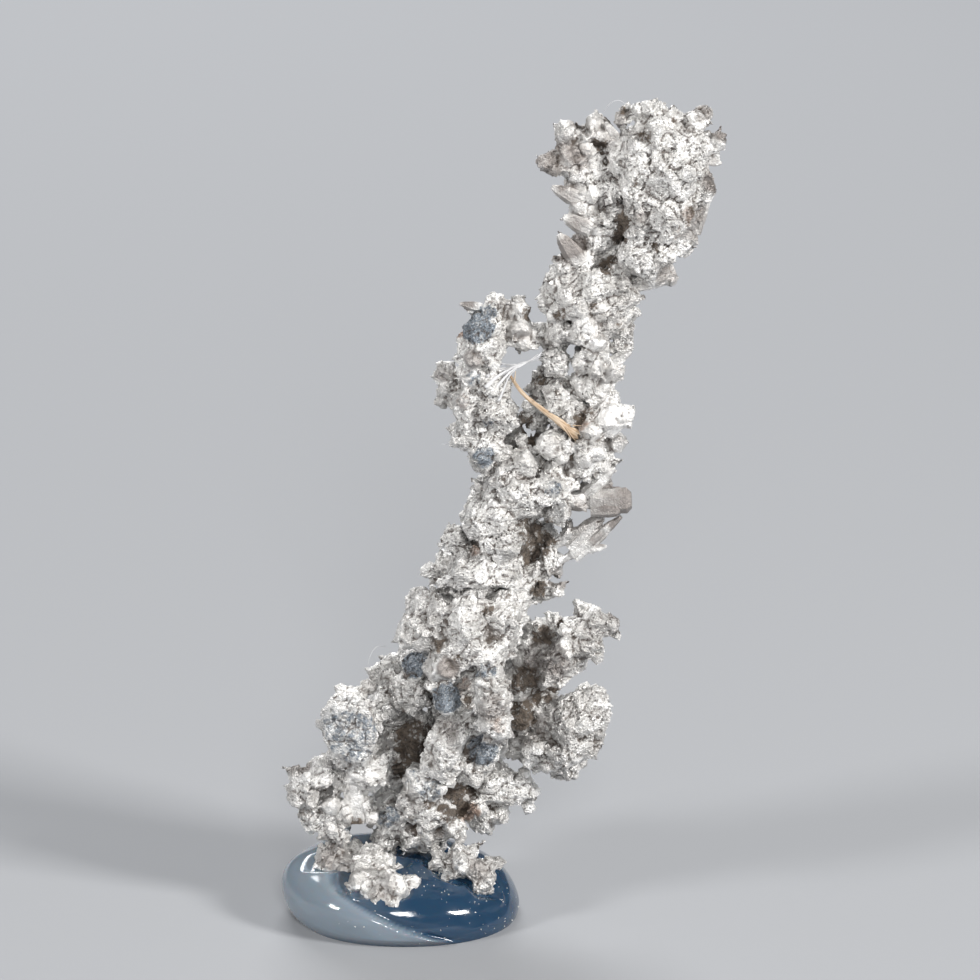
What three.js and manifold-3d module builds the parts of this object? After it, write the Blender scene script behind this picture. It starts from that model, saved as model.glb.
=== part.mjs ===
// Native silver: a leaning, branching column of grown-together crystals on a dab of mounting gum.
// Millimetres, +Z up, front at -Y. The origin lies on the gum's flat underside, near its middle.
import * as THREE from "three";
import { ConvexGeometry } from "three/addons/geometries/ConvexGeometry.js";
import { mergeVertices } from "three/addons/utils/BufferGeometryUtils.js";
import Module from "manifold-3d";

const wasm = await Module();
wasm.setup();
const { Manifold } = wasm;

const seatGap = 0.3; // clear space between two nodes that grow from, or rest on, each other
const cornerWander = 0.13; // how far a crystal's corners stray, as a share of its half size
const octahedronBelow = 1.25; // smaller crystals are octahedra, larger ones have their corners cut off
const octahedronReach = 1.45; // how far an octahedron's corners lie from its middle, in half sizes
const cutCornerReach = 0.95; // the same for each coordinate of a cut-off corner
const sizeWander = 0.2; // how much its three half sizes differ
const turnWander = 0.6; // how far it is turned from its branch's own lattice, in radians
const heartShare = 0.8; // the size of the filling inside a branch beside the branch itself
const heartStep = 3.0; // distance between the crystals that fill a branch
const pairedFrom = 1.2; // a crystal at least this big has another one behind it, at the back
const backWander = 0.5; // how far the back one strays from a place straight behind
const sinkShare = 0.45; // how deep a surface crystal sits, as a share of its half size
const sliver = 0.05; // edges shorter than this are closed up
const samePlace = 1e-4; // corners nearer than this are one corner
const kept = 0.46; // the share of a branch's triangles that stays once its least useful edges are closed up
const touchGap = 0.02; // how far a corner is drawn in where a surface touches itself
const leastTurn = 0.25; // how far a face may turn meanwhile, as the cosine between before and after

// Heights are listed on the upright plane y = 0, along a line that rises towards the front.
// A crystal in front of that plane stands higher than its listed height, and one behind it lower.
const riseAtGround = 0.39;
const riseLostPerMm = 0.00275;
const place = (x, height, y) =>
  new THREE.Vector3(x, y, height - y * (riseAtGround - riseLostPerMm * height));

// The gum dab: an oval dome with a flat underside, folded over itself at its front left.
const gum = {
  halfWidth: 8.4,
  halfDepth: 7.5,
  centreX: 0.5, // of the underside
  centreY: 0.2,
  lean: -0.35, // how far the middle shifts in x for each millimetre of height
  squareness: 2.15, // 2 is an ellipse, more is boxier
  sides: 28,
  // from the underside's middle to the top's: [share of the half width, height]
  profile: [[0, 0], [0.95, 0], [1, 1.1], [0.975, 2.2], [0.9, 3.2], [0.74, 4.0], [0.45, 4.5], [0, 4.65]],
  foldSwell: 0.045, // how far the folded part stands out, as a share of the half width
  foldTop: [3.9, -128], // the fold's edge runs down the front from here: [height, degrees about Z]
  foldFoot: [0.5, -68],
  foldReach: 70, // degrees over which the swelling fades to the left
};

const splinter = {
  route: [[7.9, 40.4, -1.4], [8.8, 39.1, -2.5], [9.8, 38.2, -3.0], [11.0, 37.3, -3.4], [12.7, 36.0, -3.5]],
  topWidth: 0.3,
  endWidth: 0.85,
  flatness: 0.5,
  sides: 6,
  steps: 9,
};

// Branches. A spine point is [x, height, half width, half depth, y].
// A crystal is [x, height, half size] and lies on the front of its branch, or has its own y at the end.
// A blade is [root, tip, width], each end as [x, height, y].
const branches = [
  {
    name: "lower_trunk",
    seed: 21,
    spine: [
      [1.6, 6.2, 2.8, 3.4, 0.4], [3.2, 9.4, 3.4, 4.6, 0.8], [4.4, 13.0, 3.0, 5.0, 1.0],
      [3.9, 17.0, 3.4, 5.0, 1.0], [4.6, 21.0, 4.0, 4.7, 0.8], [6.0, 24.4, 3.6, 3.6, 0.3],
    ],
    crystals: [
      [-1.2, 8.7, 0.9], [-1.9, 7.3, 0.7], [-0.7, 7.2, 1.0], [1.4, 10.1, 1.2], [0.8, 8.6, 1.0],
      [2.3, 9.3, 0.9], [2.3, 7.4, 1.2], [-1.1, 5.6, 0.9], [-1.0, 4.7, 0.7], [3.6, 6.5, 0.9],
      [5.7, 6.3, 0.7], [5.4, 7.6, 0.9], [6.8, 9.7, 1.5], [6.9, 7.7, 1.0], [9.3, 9.2, 1.1, 0.5],
      [8.1, 9.8, 1.0, 0.3],
      [3.5, 13.3, 1.3], [3.4, 11.7, 1.3], [5.3, 10.8, 1.1], [6.0, 12.4, 1.1],
      [0.9, 16.9, 1.3], [-0.1, 15.9, 0.8], [-0.7, 18.8, 0.9], [-1.5, 18.1, 0.8, -0.3],
      [1.2, 18.9, 1.0], [3.2, 18.7, 1.3], [3.5, 16.4, 1.1],
      [6.8, 17.7, 1.2, -5.0], [6.7, 16.1, 1.3, -5.0], [7.0, 14.4, 1.2, -4.8], [5.6, 14.8, 0.8],
      [4.6, 20.2, 1.5], [6.4, 20.0, 1.4], [8.8, 20.3, 0.9], [7.0, 21.5, 1.6], [4.4, 21.6, 1.3],
      [1.9, 21.5, 1.3], [2.6, 23.8, 1.0], [4.9, 22.9, 1.3], [8.0, 23.0, 1.3], [3.0, 22.6, 1.1],
      [-0.4, 11.8, 1.5, 3.4], [1.0, 13.4, 1.8, 3.4], [-0.2, 15.6, 1.6, 3.0], [0.6, 9.8, 1.6, 3.6],
      [8.9, 15.4, 1.3, 0.6], [8.9, 17.6, 1.3, 0.6], [9.0, 13.2, 1.3, 0.8], [9.3, 19.8, 1.3, 0.6],
      [10.3, 16.2, 1.3, 1.2], [10.0, 18.6, 1.2, 1.0], [10.0, 14.2, 1.1, 1.0], [10.0, 21.4, 0.9, 0.4],
      [1.6, 19.6, 1.6, 4.4], [5.4, 14.2, 1.8, 4.6], [7.0, 19.0, 1.6, 4.0],
    ],
    blades: [
      [[1.2, 21.4, -1.0], [-0.8, 20.5, -1.0], 1.1],
      [[1.0, 6.0, -2.4], [1.0, 4.2, -2.4], 0.9],
      [[4.5, 7.4, -2.2], [4.7, 5.2, -2.4], 1.0],
      [[3.4, 22.0, 4.0], [1.4, 24.4, 6.6], 1.6],
      [[6.4, 12.0, 4.6], [8.6, 12.6, 7.0], 1.6],
    ],
  },
  {
    name: "middle_trunk",
    seed: 34,
    spine: [
      [6.4, 26.2, 3.2, 3.2, 0.3], [7.9, 29.6, 3.6, 3.2, 0.2], [9.6, 32.6, 3.9, 2.9, 0.0],
      [12.4, 35.4, 2.9, 2.4, 0.0], [13.0, 37.0, 2.5, 2.1, 0.0],
    ],
    crystals: [
      [15.2, 37.3, 1.3, -0.9], [14.8, 38.5, 0.6, -0.9], [13.4, 35.2, 1.0], [13.3, 33.8, 1.1],
      [10.9, 35.2, 1.3],
      [8.9, 33.9, 1.2], [8.8, 35.1, 0.7], [7.4, 32.8, 1.1], [5.6, 32.4, 0.6], [8.4, 31.8, 1.5],
      [6.9, 30.0, 2.1], [5.6, 30.1, 1.1, -0.4], [7.5, 28.2, 1.4], [3.9, 28.2, 1.1],
      [3.1, 26.2, 0.9], [2.6, 25.4, 0.7], [5.0, 26.0, 1.7], [6.8, 26.3, 1.4], [5.3, 24.9, 1.4],
      [11.8, 29.1, 0.9], [10.8, 32.2, 1.3], [11.3, 30.4, 1.1], [12.6, 31.2, 1.0],
      [13.9, 36.6, 1.0], [12.0, 37.5, 1.1], [14.6, 34.2, 0.9, 0.0], [14.2, 32.6, 1.0, 0.4],
      [10.9, 26.6, 1.0, -0.4], [9.6, 25.9, 0.9, -0.8], [10.3, 24.6, 1.0, -0.6],
      [11.6, 24.5, 0.6, -0.6], [8.3, 25.2, 1.1, -1.2], [9.6, 28.2, 1.6, 1.4],
    ],
    blades: [
      [[14.4, 35.4, -0.6], [16.6, 35.4, -0.4], 1.5],
      [[13.4, 31.7, -1.2], [15.3, 34.2, -1.0], 1.0],
      [[11.4, 31.6, 0.0], [16.6, 31.5, -0.1], 2.4],
      [[10.6, 27.7, -0.6], [14.9, 30.1, -1.2], 1.4],
      [[10.6, 26.0, -0.4], [14.0, 28.3, -1.4], 0.9],
      [[13.4, 27.8, -1.3], [15.9, 30.2, -1.2], 0.9],
      [[12.2, 27.2, -1.0], [15.1, 27.8, -1.2], 0.9],
      [[7.4, 29.0, 2.4], [5.4, 31.6, 5.0], 1.4],
      [[11.0, 33.4, 1.8], [12.6, 35.0, 4.4], 1.3],
    ],
  },
  {
    name: "upper_trunk",
    seed: 55,
    spine: [
      [12.0, 39.4, 2.1, 1.9, 0.0], [13.4, 41.8, 2.2, 1.9, 0.1], [13.6, 44.4, 2.6, 1.9, 0.1],
      [13.9, 46.8, 2.4, 1.7, 0.0],
    ],
    crystals: [
      [12.5, 48.2, 1.0], [14.2, 48.3, 1.1, 0.4], [15.4, 47.7, 1.0, 0.2], [10.8, 46.8, 0.8, -0.2],
      [12.0, 47.0, 1.2], [14.0, 46.8, 1.3], [15.7, 46.6, 1.1],
      [10.6, 45.7, 0.9, -0.3], [10.8, 43.0, 0.8, 0.0], [10.8, 41.9, 0.7, 0.2], [12.5, 45.6, 1.4],
      [15.0, 45.3, 1.3], [16.5, 45.0, 0.7, -0.2],
      [11.5, 43.7, 1.2], [13.3, 43.5, 1.4], [15.3, 44.0, 1.1], [14.0, 42.5, 1.0], [15.9, 43.0, 0.8, 0.0],
      [11.3, 41.4, 1.0], [13.3, 41.2, 1.0], [14.8, 40.9, 0.9], [13.6, 39.6, 1.3],
      [11.3, 38.8, 1.2], [9.7, 37.6, 1.1, -0.4], [10.3, 39.7, 1.0, 0.8], [14.3, 39.2, 0.8, 0.0],
    ],
    blades: [
      [[12.9, 48.2, -0.4], [11.2, 50.9, -0.4], 1.3],
      [[12.6, 48.0, -0.4], [10.2, 49.3, -0.3], 1.2],
      [[15.0, 46.2, -0.5], [17.8, 46.0, -0.3], 1.1],
      [[14.2, 42.6, -0.4], [16.6, 42.2, -0.5], 1.2],
      [[13.2, 42.8, 1.2], [14.4, 45.2, 3.4], 1.1],
    ],
  },
  {
    name: "crown",
    seed: 89,
    spine: [
      [16.8, 48.8, 1.5, 1.4, 0.0], [18.6, 51.6, 2.3, 1.7, 0.0], [18.6, 54.6, 2.8, 1.8, 0.0],
      [18.4, 57.2, 2.1, 1.5, 0.0],
    ],
    crystals: [
      [17.0, 55.0, 1.7], [19.3, 54.6, 1.8], [18.1, 53.0, 1.4], [20.1, 56.2, 1.6], [16.6, 56.6, 1.6],
      [18.4, 57.8, 1.4], [19.5, 52.2, 1.6], [17.3, 51.5, 1.8], [17.4, 49.2, 1.5], [16.8, 47.9, 0.9, 0.0],
      [14.3, 51.2, 1.3, -0.3], [19.3, 50.0, 1.1], [18.3, 48.1, 0.9, -0.2], [20.8, 54.0, 1.2],
      [20.6, 52.2, 0.9],
      [16.9, 59.5, 0.7], [18.2, 59.5, 0.65], [16.0, 59.2, 0.7, 0.2], [17.4, 58.6, 0.9, 0.3],
      [19.3, 59.0, 0.7], [20.7, 58.7, 0.95],
      [22.4, 57.4, 0.7, -0.2], [21.6, 56.7, 0.9], [15.7, 58.8, 0.7], [13.9, 57.9, 0.9, 0.3],
      [11.8, 57.7, 1.0, 0.0], [12.8, 57.4, 0.9, 0.2], [13.2, 56.3, 1.0, 0.2], [12.2, 56.2, 0.8, -0.4],
      [10.4, 55.9, 0.7, -0.6],
      [11.7, 55.5, 0.8, -0.5], [12.8, 55.0, 0.8, -0.4], [13.9, 54.6, 0.9, -0.1], [14.9, 53.8, 1.0, 0.0],
      [13.0, 52.5, 0.7, -0.4], [15.2, 57.0, 1.0, 0.4], [15.6, 50.9, 1.2, 0.4], [16.0, 52.6, 1.2, 0.0],
      [15.8, 49.2, 1.1, 0.6],
    ],
    blades: [
      [[14.2, 57.0, 0.4], [13.8, 59.6, 0.4], 1.0],
      [[15.3, 57.3, 0.2], [14.2, 59.5, 0.2], 0.7],
      [[15.2, 53.3, -0.2], [10.4, 54.0, -0.6], 1.2],
      [[15.2, 51.1, -0.2], [11.3, 51.7, -0.6], 1.2],
      [[15.2, 50.5, 0.0], [12.6, 50.1, -0.4], 1.1],
      [[21.1, 56.0, -0.4], [22.8, 55.9, -0.4], 0.9],
      [[19.0, 51.0, -0.4], [21.1, 49.5, -0.5], 1.3],
      [[17.8, 49.2, -0.2], [19.8, 47.4, -0.3], 1.2],
      [[17.0, 48.4, 0.0], [18.2, 46.6, 0.0], 1.1],
      [[18.6, 54.0, 1.2], [17.4, 56.6, 3.2], 1.2],
    ],
  },
  {
    name: "left_fork",
    seed: 13,
    spine: [
      [6.5, 35.4, 1.6, 2.1, 0.0], [6.2, 38.2, 1.9, 2.2, 0.1], [6.0, 41.4, 1.3, 1.9, 0.1],
      [6.4, 44.0, 1.2, 1.5, 0.0],
    ],
    crystals: [
      [7.2, 45.3, 0.8], [6.5, 44.4, 1.0], [5.7, 43.9, 0.9], [6.0, 42.7, 1.3],
      [5.4, 41.6, 1.0], [6.8, 41.8, 0.8], [5.3, 40.1, 1.0], [3.4, 40.6, 0.85, -0.2], [3.8, 39.0, 0.9, -0.3],
      [6.7, 39.5, 1.3], [5.2, 38.3, 1.3], [6.8, 37.3, 1.4], [5.2, 35.9, 1.2], [6.3, 34.9, 1.3],
      [8.6, 45.0, 0.8, 0.0], [8.5, 43.7, 1.1, 0.0], [9.5, 43.4, 0.8, 0.0], [9.0, 42.9, 0.6, 0.1],
      [7.6, 44.2, 1.0, 0.0],
      [4.3, 40.0, 0.9, 0.2],
    ],
    blades: [
      [[6.6, 44.6, -0.2], [4.2, 45.6, -0.4], 1.2],
      [[8.6, 43.4, 0.0], [8.6, 41.9, 0.0], 1.0],
    ],
  },
  {
    name: "right_arm_upper",
    seed: 144,
    spine: [[10.9, 18.6, 1.3, 1.4, 0.0], [12.8, 20.7, 1.5, 1.5, -0.2], [14.2, 21.9, 1.0, 1.2, -0.2]],
    crystals: [
      [13.9, 21.8, 1.2], [15.2, 22.0, 0.8, -0.3], [12.3, 20.7, 1.3], [13.4, 20.3, 1.1], [11.0, 19.2, 1.2],
      [12.8, 19.2, 0.9], [11.3, 17.9, 1.1], [11.1, 21.6, 0.7, -0.2], [12.4, 22.0, 0.7, -0.2],
    ],
    blades: [[[12.8, 20.8, 0.4], [13.8, 22.0, 2.8], 1.1]],
  },
  {
    name: "right_arm_lower",
    seed: 233,
    spine: [[10.4, 11.8, 1.2, 1.5, -0.2], [12.2, 13.2, 1.8, 1.6, -0.3], [13.2, 15.6, 1.5, 1.4, -0.3]],
    crystals: [
      [13.6, 16.0, 1.2], [13.5, 14.6, 1.3], [12.0, 14.3, 1.2], [12.3, 12.7, 1.3], [10.3, 14.5, 1.0],
      [10.1, 12.6, 1.1], [11.0, 11.5, 1.1], [12.0, 11.1, 0.9], [12.2, 16.2, 0.8], [13.7, 13.2, 0.8, 0.0],
      [9.6, 11.6, 1.0, 0.0],
    ],
    blades: [[[12.2, 13.6, 0.6], [14.2, 12.6, 2.6], 1.1]],
  },
  {
    name: "left_lobe",
    seed: 377,
    spine: [[-2.2, 11.0, 1.3, 2.0, -0.2], [-3.3, 13.8, 1.8, 2.0, -0.4], [-3.3, 15.6, 1.3, 1.6, -0.4]],
    crystals: [
      [-3.3, 14.2, 1.9, -1.7], [-3.4, 16.0, 1.2, -1.4], [-3.4, 12.5, 1.5, -1.5], [-4.5, 14.3, 1.1, -1.3],
      [-2.1, 14.5, 1.2, -1.4], [-1.7, 11.0, 1.2], [-3.0, 10.5, 1.0], [-1.8, 12.6, 1.0, -0.2],
      [-3.4, 13.8, 1.8, 0.8], [-2.5, 8.0, 0.9, -1.2], [-3.5, 7.6, 0.8, -1.2],
    ],
    blades: [[[-3.0, 10.4, -1.2], [-3.1, 6.8, -1.2], 1.9]],
  },
  {
    name: "left_hand",
    seed: 610,
    spine: [[-4.4, 5.6, 0.9, 1.5, 0.0], [-5.6, 7.6, 1.2, 1.7, 0.0], [-6.2, 9.6, 1.5, 1.7, 0.0]],
    crystals: [
      [-7.4, 10.7, 0.9, -0.3], [-7.2, 9.2, 0.9, -0.4], [-6.0, 10.4, 1.0], [-5.7, 11.3, 0.6, -0.4],
      [-4.6, 10.1, 0.7, -0.3], [-6.5, 8.8, 0.9], [-6.6, 7.9, 0.8], [-4.8, 8.2, 1.0], [-6.0, 6.9, 0.8],
      [-5.2, 6.2, 0.8], [-4.0, 6.2, 0.8], [-4.5, 4.9, 0.7, -0.5], [-6.2, 9.4, 1.3, 1.0],
    ],
    blades: [],
  },
  {
    name: "rear_branch",
    seed: 987,
    spine: [[-0.9, 9.6, 1.8, 2.0, 5.0], [-2.8, 12.4, 2.0, 2.2, 5.4], [-3.4, 14.8, 1.5, 1.8, 5.4]],
    crystals: [
      [-3.2, 15.6, 1.2, 5.4], [-4.2, 13.6, 1.3, 5.4], [-1.8, 14.6, 1.4, 5.6], [-3.0, 11.8, 1.7, 6.2],
      [-1.2, 10.8, 1.5, 6.4], [-3.4, 14.6, 1.3, 6.4],
    ],
    blades: [[[-3.4, 12.4, 5.6], [-5.4, 13.2, 7.2], 1.4]],
  },
  {
    name: "front_foot",
    seed: 1597,
    spine: [[-0.6, 3.2, 1.3, 1.2, -2.6], [-1.4, 1.6, 1.6, 1.1, -4.2]],
    crystals: [
      [-5.3, 3.7, 0.9, -1.2], [-4.0, 3.2, 0.85, -1.7], [-3.0, 4.0, 0.9, -1.6], [-1.8, 3.6, 0.95, -2.0],
      [-3.0, 1.9, 1.0, -4.2], [-2.2, 1.1, 0.9, -4.8], [-0.5, 1.4, 1.0, -4.8], [-1.5, 0.4, 0.8, -5.0],
      [-2.4, 2.8, 1.0, -3.0],
    ],
    blades: [[[-0.2, 1.5, -4.7], [1.6, 1.4, -4.6], 1.0]],
  },
  {
    name: "right_foot",
    seed: 2584,
    spine: [[4.6, 4.4, 1.3, 1.2, -1.4], [5.2, 3.2, 1.5, 1.2, -2.6]],
    crystals: [
      [3.0, 3.7, 0.75, -2.2], [4.6, 3.7, 1.0, -2.9], [3.6, 2.8, 0.65, -3.0], [6.0, 3.3, 0.95, -2.8],
      [6.0, 2.2, 0.8, -3.4], [4.8, 5.0, 1.0, -0.9],
    ],
    blades: [],
  },
];

// A repeatable stream of numbers from 0 to 1.
function randomFrom(seed) {
  let state = seed;
  return () => {
    state = (state + 0x6d2b79f5) | 0;
    let t = Math.imul(state ^ (state >>> 15), 1 | state);
    t = (t + Math.imul(t ^ (t >>> 7), 61 | t)) ^ t;
    return ((t ^ (t >>> 14)) >>> 0) / 2 ** 32;
  };
}

// The two forms that cubic silver crystals grow towards, an octahedron and a cuboctahedron.
const signs = [-1, 1];
const octahedron = signs.flatMap((a) => [
  new THREE.Vector3(a, 0, 0),
  new THREE.Vector3(0, a, 0),
  new THREE.Vector3(0, 0, a),
]).map((corner) => corner.multiplyScalar(octahedronReach));
const cuboctahedron = signs.flatMap((a) => signs.flatMap((b) => [
  new THREE.Vector3(a, b, 0),
  new THREE.Vector3(a, 0, b),
  new THREE.Vector3(0, a, b),
])).map((corner) => corner.multiplyScalar(cutCornerReach));

function solidFrom(geometry) {
  const bare = geometry.clone();
  bare.deleteAttribute("normal");
  bare.deleteAttribute("uv");
  const merged = mergeVertices(bare, samePlace);
  return new Manifold(
    new wasm.Mesh({
      numProp: 3,
      vertProperties: new Float32Array(merged.attributes.position.array),
      triVerts: new Uint32Array(merged.index.array),
    }),
  );
}

// Two crystals of one branch are turned nearly alike, as twinned crystals are.
function crystalShape(centre, half, lattice, random) {
  const wander = (amount) => (random() * 2 - 1) * amount;
  const turn = new THREE.Quaternion().setFromEuler(
    new THREE.Euler(wander(turnWander), wander(turnWander), wander(turnWander)));
  turn.premultiply(lattice);
  const form = half[0] < octahedronBelow ? octahedron : cuboctahedron;
  const corners = form.map((corner) => corner.clone().multiplyScalar(1 + wander(cornerWander)));
  const size = half.map((value) => value * (1 + wander(sizeWander)));
  return { centre, size: new THREE.Vector3(...size), turn, corners };
}

function crystalSolid({ centre, size, turn, corners }, extra) {
  const reach = size.clone().addScalar(extra);
  return solidFrom(new ConvexGeometry(
    corners.map((corner) => corner.clone().applyQuaternion(turn).multiply(reach).add(centre))));
}

const bladeSection = [[1, 0], [0.45, 1], [-0.45, 1], [-1, 0], [-0.45, -1], [0.45, -1]];
const bladeFlatness = 0.5; // thickness over width
const bladeShares = [[0, 0.75], [0.55, 1], [1, 0.2]]; // width along the blade, from root to tip

function bladeSolid({ root, tip, width }, extra) {
  const along = tip.clone().sub(root);
  const length = along.length();
  along.normalize();
  const across = new THREE.Vector3(0, 1, 0).cross(along).normalize();
  const through = along.clone().cross(across);
  const points = bladeShares.flatMap(([share, wide]) => {
    const half = (width / 2) * wide + extra;
    const middle = root.clone().addScaledVector(along, length * share + extra * (2 * share - 1));
    return bladeSection.map(([a, b]) =>
      middle.clone().addScaledVector(across, a * half).addScaledVector(through, b * half * bladeFlatness));
  });
  return solidFrom(new ConvexGeometry(points));
}

// The spine's width, depth and middle beside a place, and how far from the spine it is.
function spineBeside(spine, x, height) {
  let best = { distance: Infinity };
  for (let i = 0; i + 1 < spine.length; i++) {
    const [a, b] = [spine[i], spine[i + 1]];
    const dx = b[0] - a[0];
    const dz = b[1] - a[1];
    const share = THREE.MathUtils.clamp(((x - a[0]) * dx + (height - a[1]) * dz) / (dx * dx + dz * dz), 0, 1);
    const point = a.map((value, k) => THREE.MathUtils.lerp(value, b[k], share));
    const distance = Math.hypot(x - point[0], height - point[1]);
    if (distance < best.distance) best = { distance, width: point[2], depth: point[3], y: point[4] };
  }
  return best;
}

// All the shapes of a branch: the filling along its spine, its crystals front and back, its blades.
function shapesOf({ seed, spine, crystals, blades }) {
  const random = randomFrom(seed);
  const lattice = new THREE.Quaternion().setFromEuler(new THREE.Euler(random(), random(), random()));
  const shapes = [];
  for (let i = 0; i + 1 < spine.length; i++) {
    const [a, b] = [spine[i], spine[i + 1]];
    const steps = Math.ceil(Math.hypot(b[0] - a[0], b[1] - a[1]) / heartStep);
    for (let k = i ? 1 : 0; k <= steps; k++) {
      const [x, height, width, depth, y] = a.map((value, n) => THREE.MathUtils.lerp(value, b[n], k / steps));
      const half = [width, depth, Math.min(width, depth)].map((value) => (value * heartShare) / Math.SQRT2);
      shapes.push(crystalShape(place(x, height, y), half, new THREE.Quaternion(), random));
    }
  }
  for (const [x, height, size, ownY] of crystals) {
    const beside = spineBeside(spine, x, height);
    const bow = Math.sqrt(Math.max(0, 1 - (beside.distance / beside.width) ** 2));
    const reach = Math.max(0, beside.depth * bow - size * sinkShare);
    const y = ownY ?? beside.y - reach;
    shapes.push(crystalShape(place(x, height, y), [size, size, size], lattice, random));
    if (size < pairedFrom || ownY !== undefined) continue;
    const [stray, drop] = [random() - 0.5, random() - 0.5].map((value) => value * 2 * backWander);
    const behind = place(x, height, beside.y).add(new THREE.Vector3(stray, reach, drop));
    shapes.push(crystalShape(behind, [size, size, size], lattice, random));
  }
  for (const [root, tip, width] of blades) {
    shapes.push({ root: place(...root), tip: place(...tip), width });
  }
  return shapes;
}

const solidOf = (shape, extra = 0) => (shape.root ? bladeSolid(shape, extra) : crystalSolid(shape, extra));
const reachOf = (shape) =>
  shape.root ? shape.root.distanceTo(shape.tip) / 2 + shape.width / 2 : shape.size.length();
const middleOf = (shape) => (shape.root ? shape.root.clone().lerp(shape.tip, 0.5) : shape.centre);
const nearEach = (a, b) => middleOf(a).distanceTo(middleOf(b)) < reachOf(a) + reachOf(b) + 2 * seatGap;
const largestBody = (solid) => solid.decompose().sort((a, b) => b.volume() - a.volume())[0];

// Closes up edges onto one of their ends, those that change the surface least first.
// Each corner remembers the planes that met there, and the corners it took over.
function lightened(solid, share) {
  const { vertProperties, triVerts } = solid.getMesh();
  const corners = [];
  for (let i = 0; i < vertProperties.length; i += 3) {
    corners.push(new THREE.Vector3().fromArray(vertProperties, i));
  }
  let faces = [];
  for (let i = 0; i < triVerts.length; i += 3) {
    faces.push([...triVerts.subarray(i, i + 3)]);
  }
  const budget = faces.length * share;
  const normalOf = ([a, b, c]) =>
    new THREE.Triangle(corners[a], corners[b], corners[c]).getNormal(new THREE.Vector3());
  const planes = corners.map(() => []);
  for (const face of faces) {
    const triangle = new THREE.Triangle(...face.map((v) => corners[v]));
    const plane = triangle.getPlane(new THREE.Plane());
    face.forEach((v) => planes[v].push({ plane, area: triangle.getArea() }));
  }
  const harm = (from, to) =>
    planes[from].reduce((sum, { plane, area }) => sum + area * plane.distanceToPoint(corners[to]) ** 2, 0);
  let closed = true;
  while (faces.length > budget && closed) {
    closed = false;
    const around = corners.map(() => []);
    faces.forEach((face) => face.forEach((v) => around[v].push(face)));
    const moves = faces.flatMap((face) => face.map((from, k) => ({ from, to: face[(k + 1) % 3] })));
    moves.push(...moves.map(({ from, to }) => ({ from: to, to: from })));
    moves.forEach((move) => { move.cost = harm(move.from, move.to); });
    moves.sort((a, b) => a.cost - b.cost);
    const touched = new Set();
    const gone = new Set();
    for (const { from, to } of moves) {
      if (faces.length - gone.size <= budget) break;
      const both = [...around[from], ...around[to]];
      if (both.some((face) => touched.has(face))) continue;
      const beside = (v) => new Set(around[v].flat());
      const shared = [...beside(from)].filter((v) => v !== from && v !== to && beside(to).has(v));
      if (shared.length !== 2) continue;
      const moved = around[from].filter((face) => !face.includes(to));
      const turned = moved.map((face) => face.map((v) => (v === from ? to : v)));
      if (moved.some((face, k) => normalOf(face).dot(normalOf(turned[k])) < leastTurn)) continue;
      moved.forEach((face, k) => face.splice(0, 3, ...turned[k]));
      around[from].filter((face) => !moved.includes(face)).forEach((face) => gone.add(face));
      both.forEach((face) => touched.add(face));
      planes[to].push(...planes[from]);
      closed = true;
    }
    faces = faces.filter((face) => !gone.has(face));
  }
  const geometry = new THREE.BufferGeometry().setFromPoints(faces.flat().map((v) => corners[v]));
  return solidFrom(geometry);
}

// What is kept clear around the shapes already used, as far as they are near the new ones.
function clearanceAround(used, shapes) {
  const close = used.filter((shape) => shapes.some((other) => nearEach(shape, other)));
  return close.map((shape) => solidOf(shape, seatGap));
}

// Where a surface touches itself at a corner, its sheets are drawn in a little, so that they stay apart.
function partTouchingCorners(geometry) {
  const places = geometry.attributes.position;
  const normals = geometry.attributes.normal;
  const atPlace = new Map();
  const corner = new THREE.Vector3();
  for (let i = 0; i < places.count; i++) {
    const key = corner.fromBufferAttribute(places, i).toArray().map((v) => v.toFixed(3)).join();
    atPlace.set(key, [...(atPlace.get(key) ?? []), i]);
  }
  for (const i of [...atPlace.values()].filter((group) => group.length > 1).flat()) {
    corner.fromBufferAttribute(normals, i).multiplyScalar(-touchGap);
    places.setXYZ(i, places.getX(i) + corner.x, places.getY(i) + corner.y, places.getZ(i) + corner.z);
  }
}

function meshOf(name, solid, material) {
  const { vertProperties, triVerts, numProp } = solid.getMesh();
  const places = new Float32Array((vertProperties.length / numProp) * 3);
  for (let i = 0; i < places.length / 3; i++) {
    places.set(vertProperties.subarray(i * numProp, i * numProp + 3), i * 3);
  }
  const geometry = new THREE.BufferGeometry();
  geometry.setAttribute("position", new THREE.BufferAttribute(places, 3));
  geometry.setIndex(new THREE.BufferAttribute(new Uint32Array(triVerts), 1));
  geometry.computeVertexNormals();
  partTouchingCorners(geometry);
  const mesh = new THREE.Mesh(geometry, material);
  mesh.name = name;
  return mesh;
}

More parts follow.
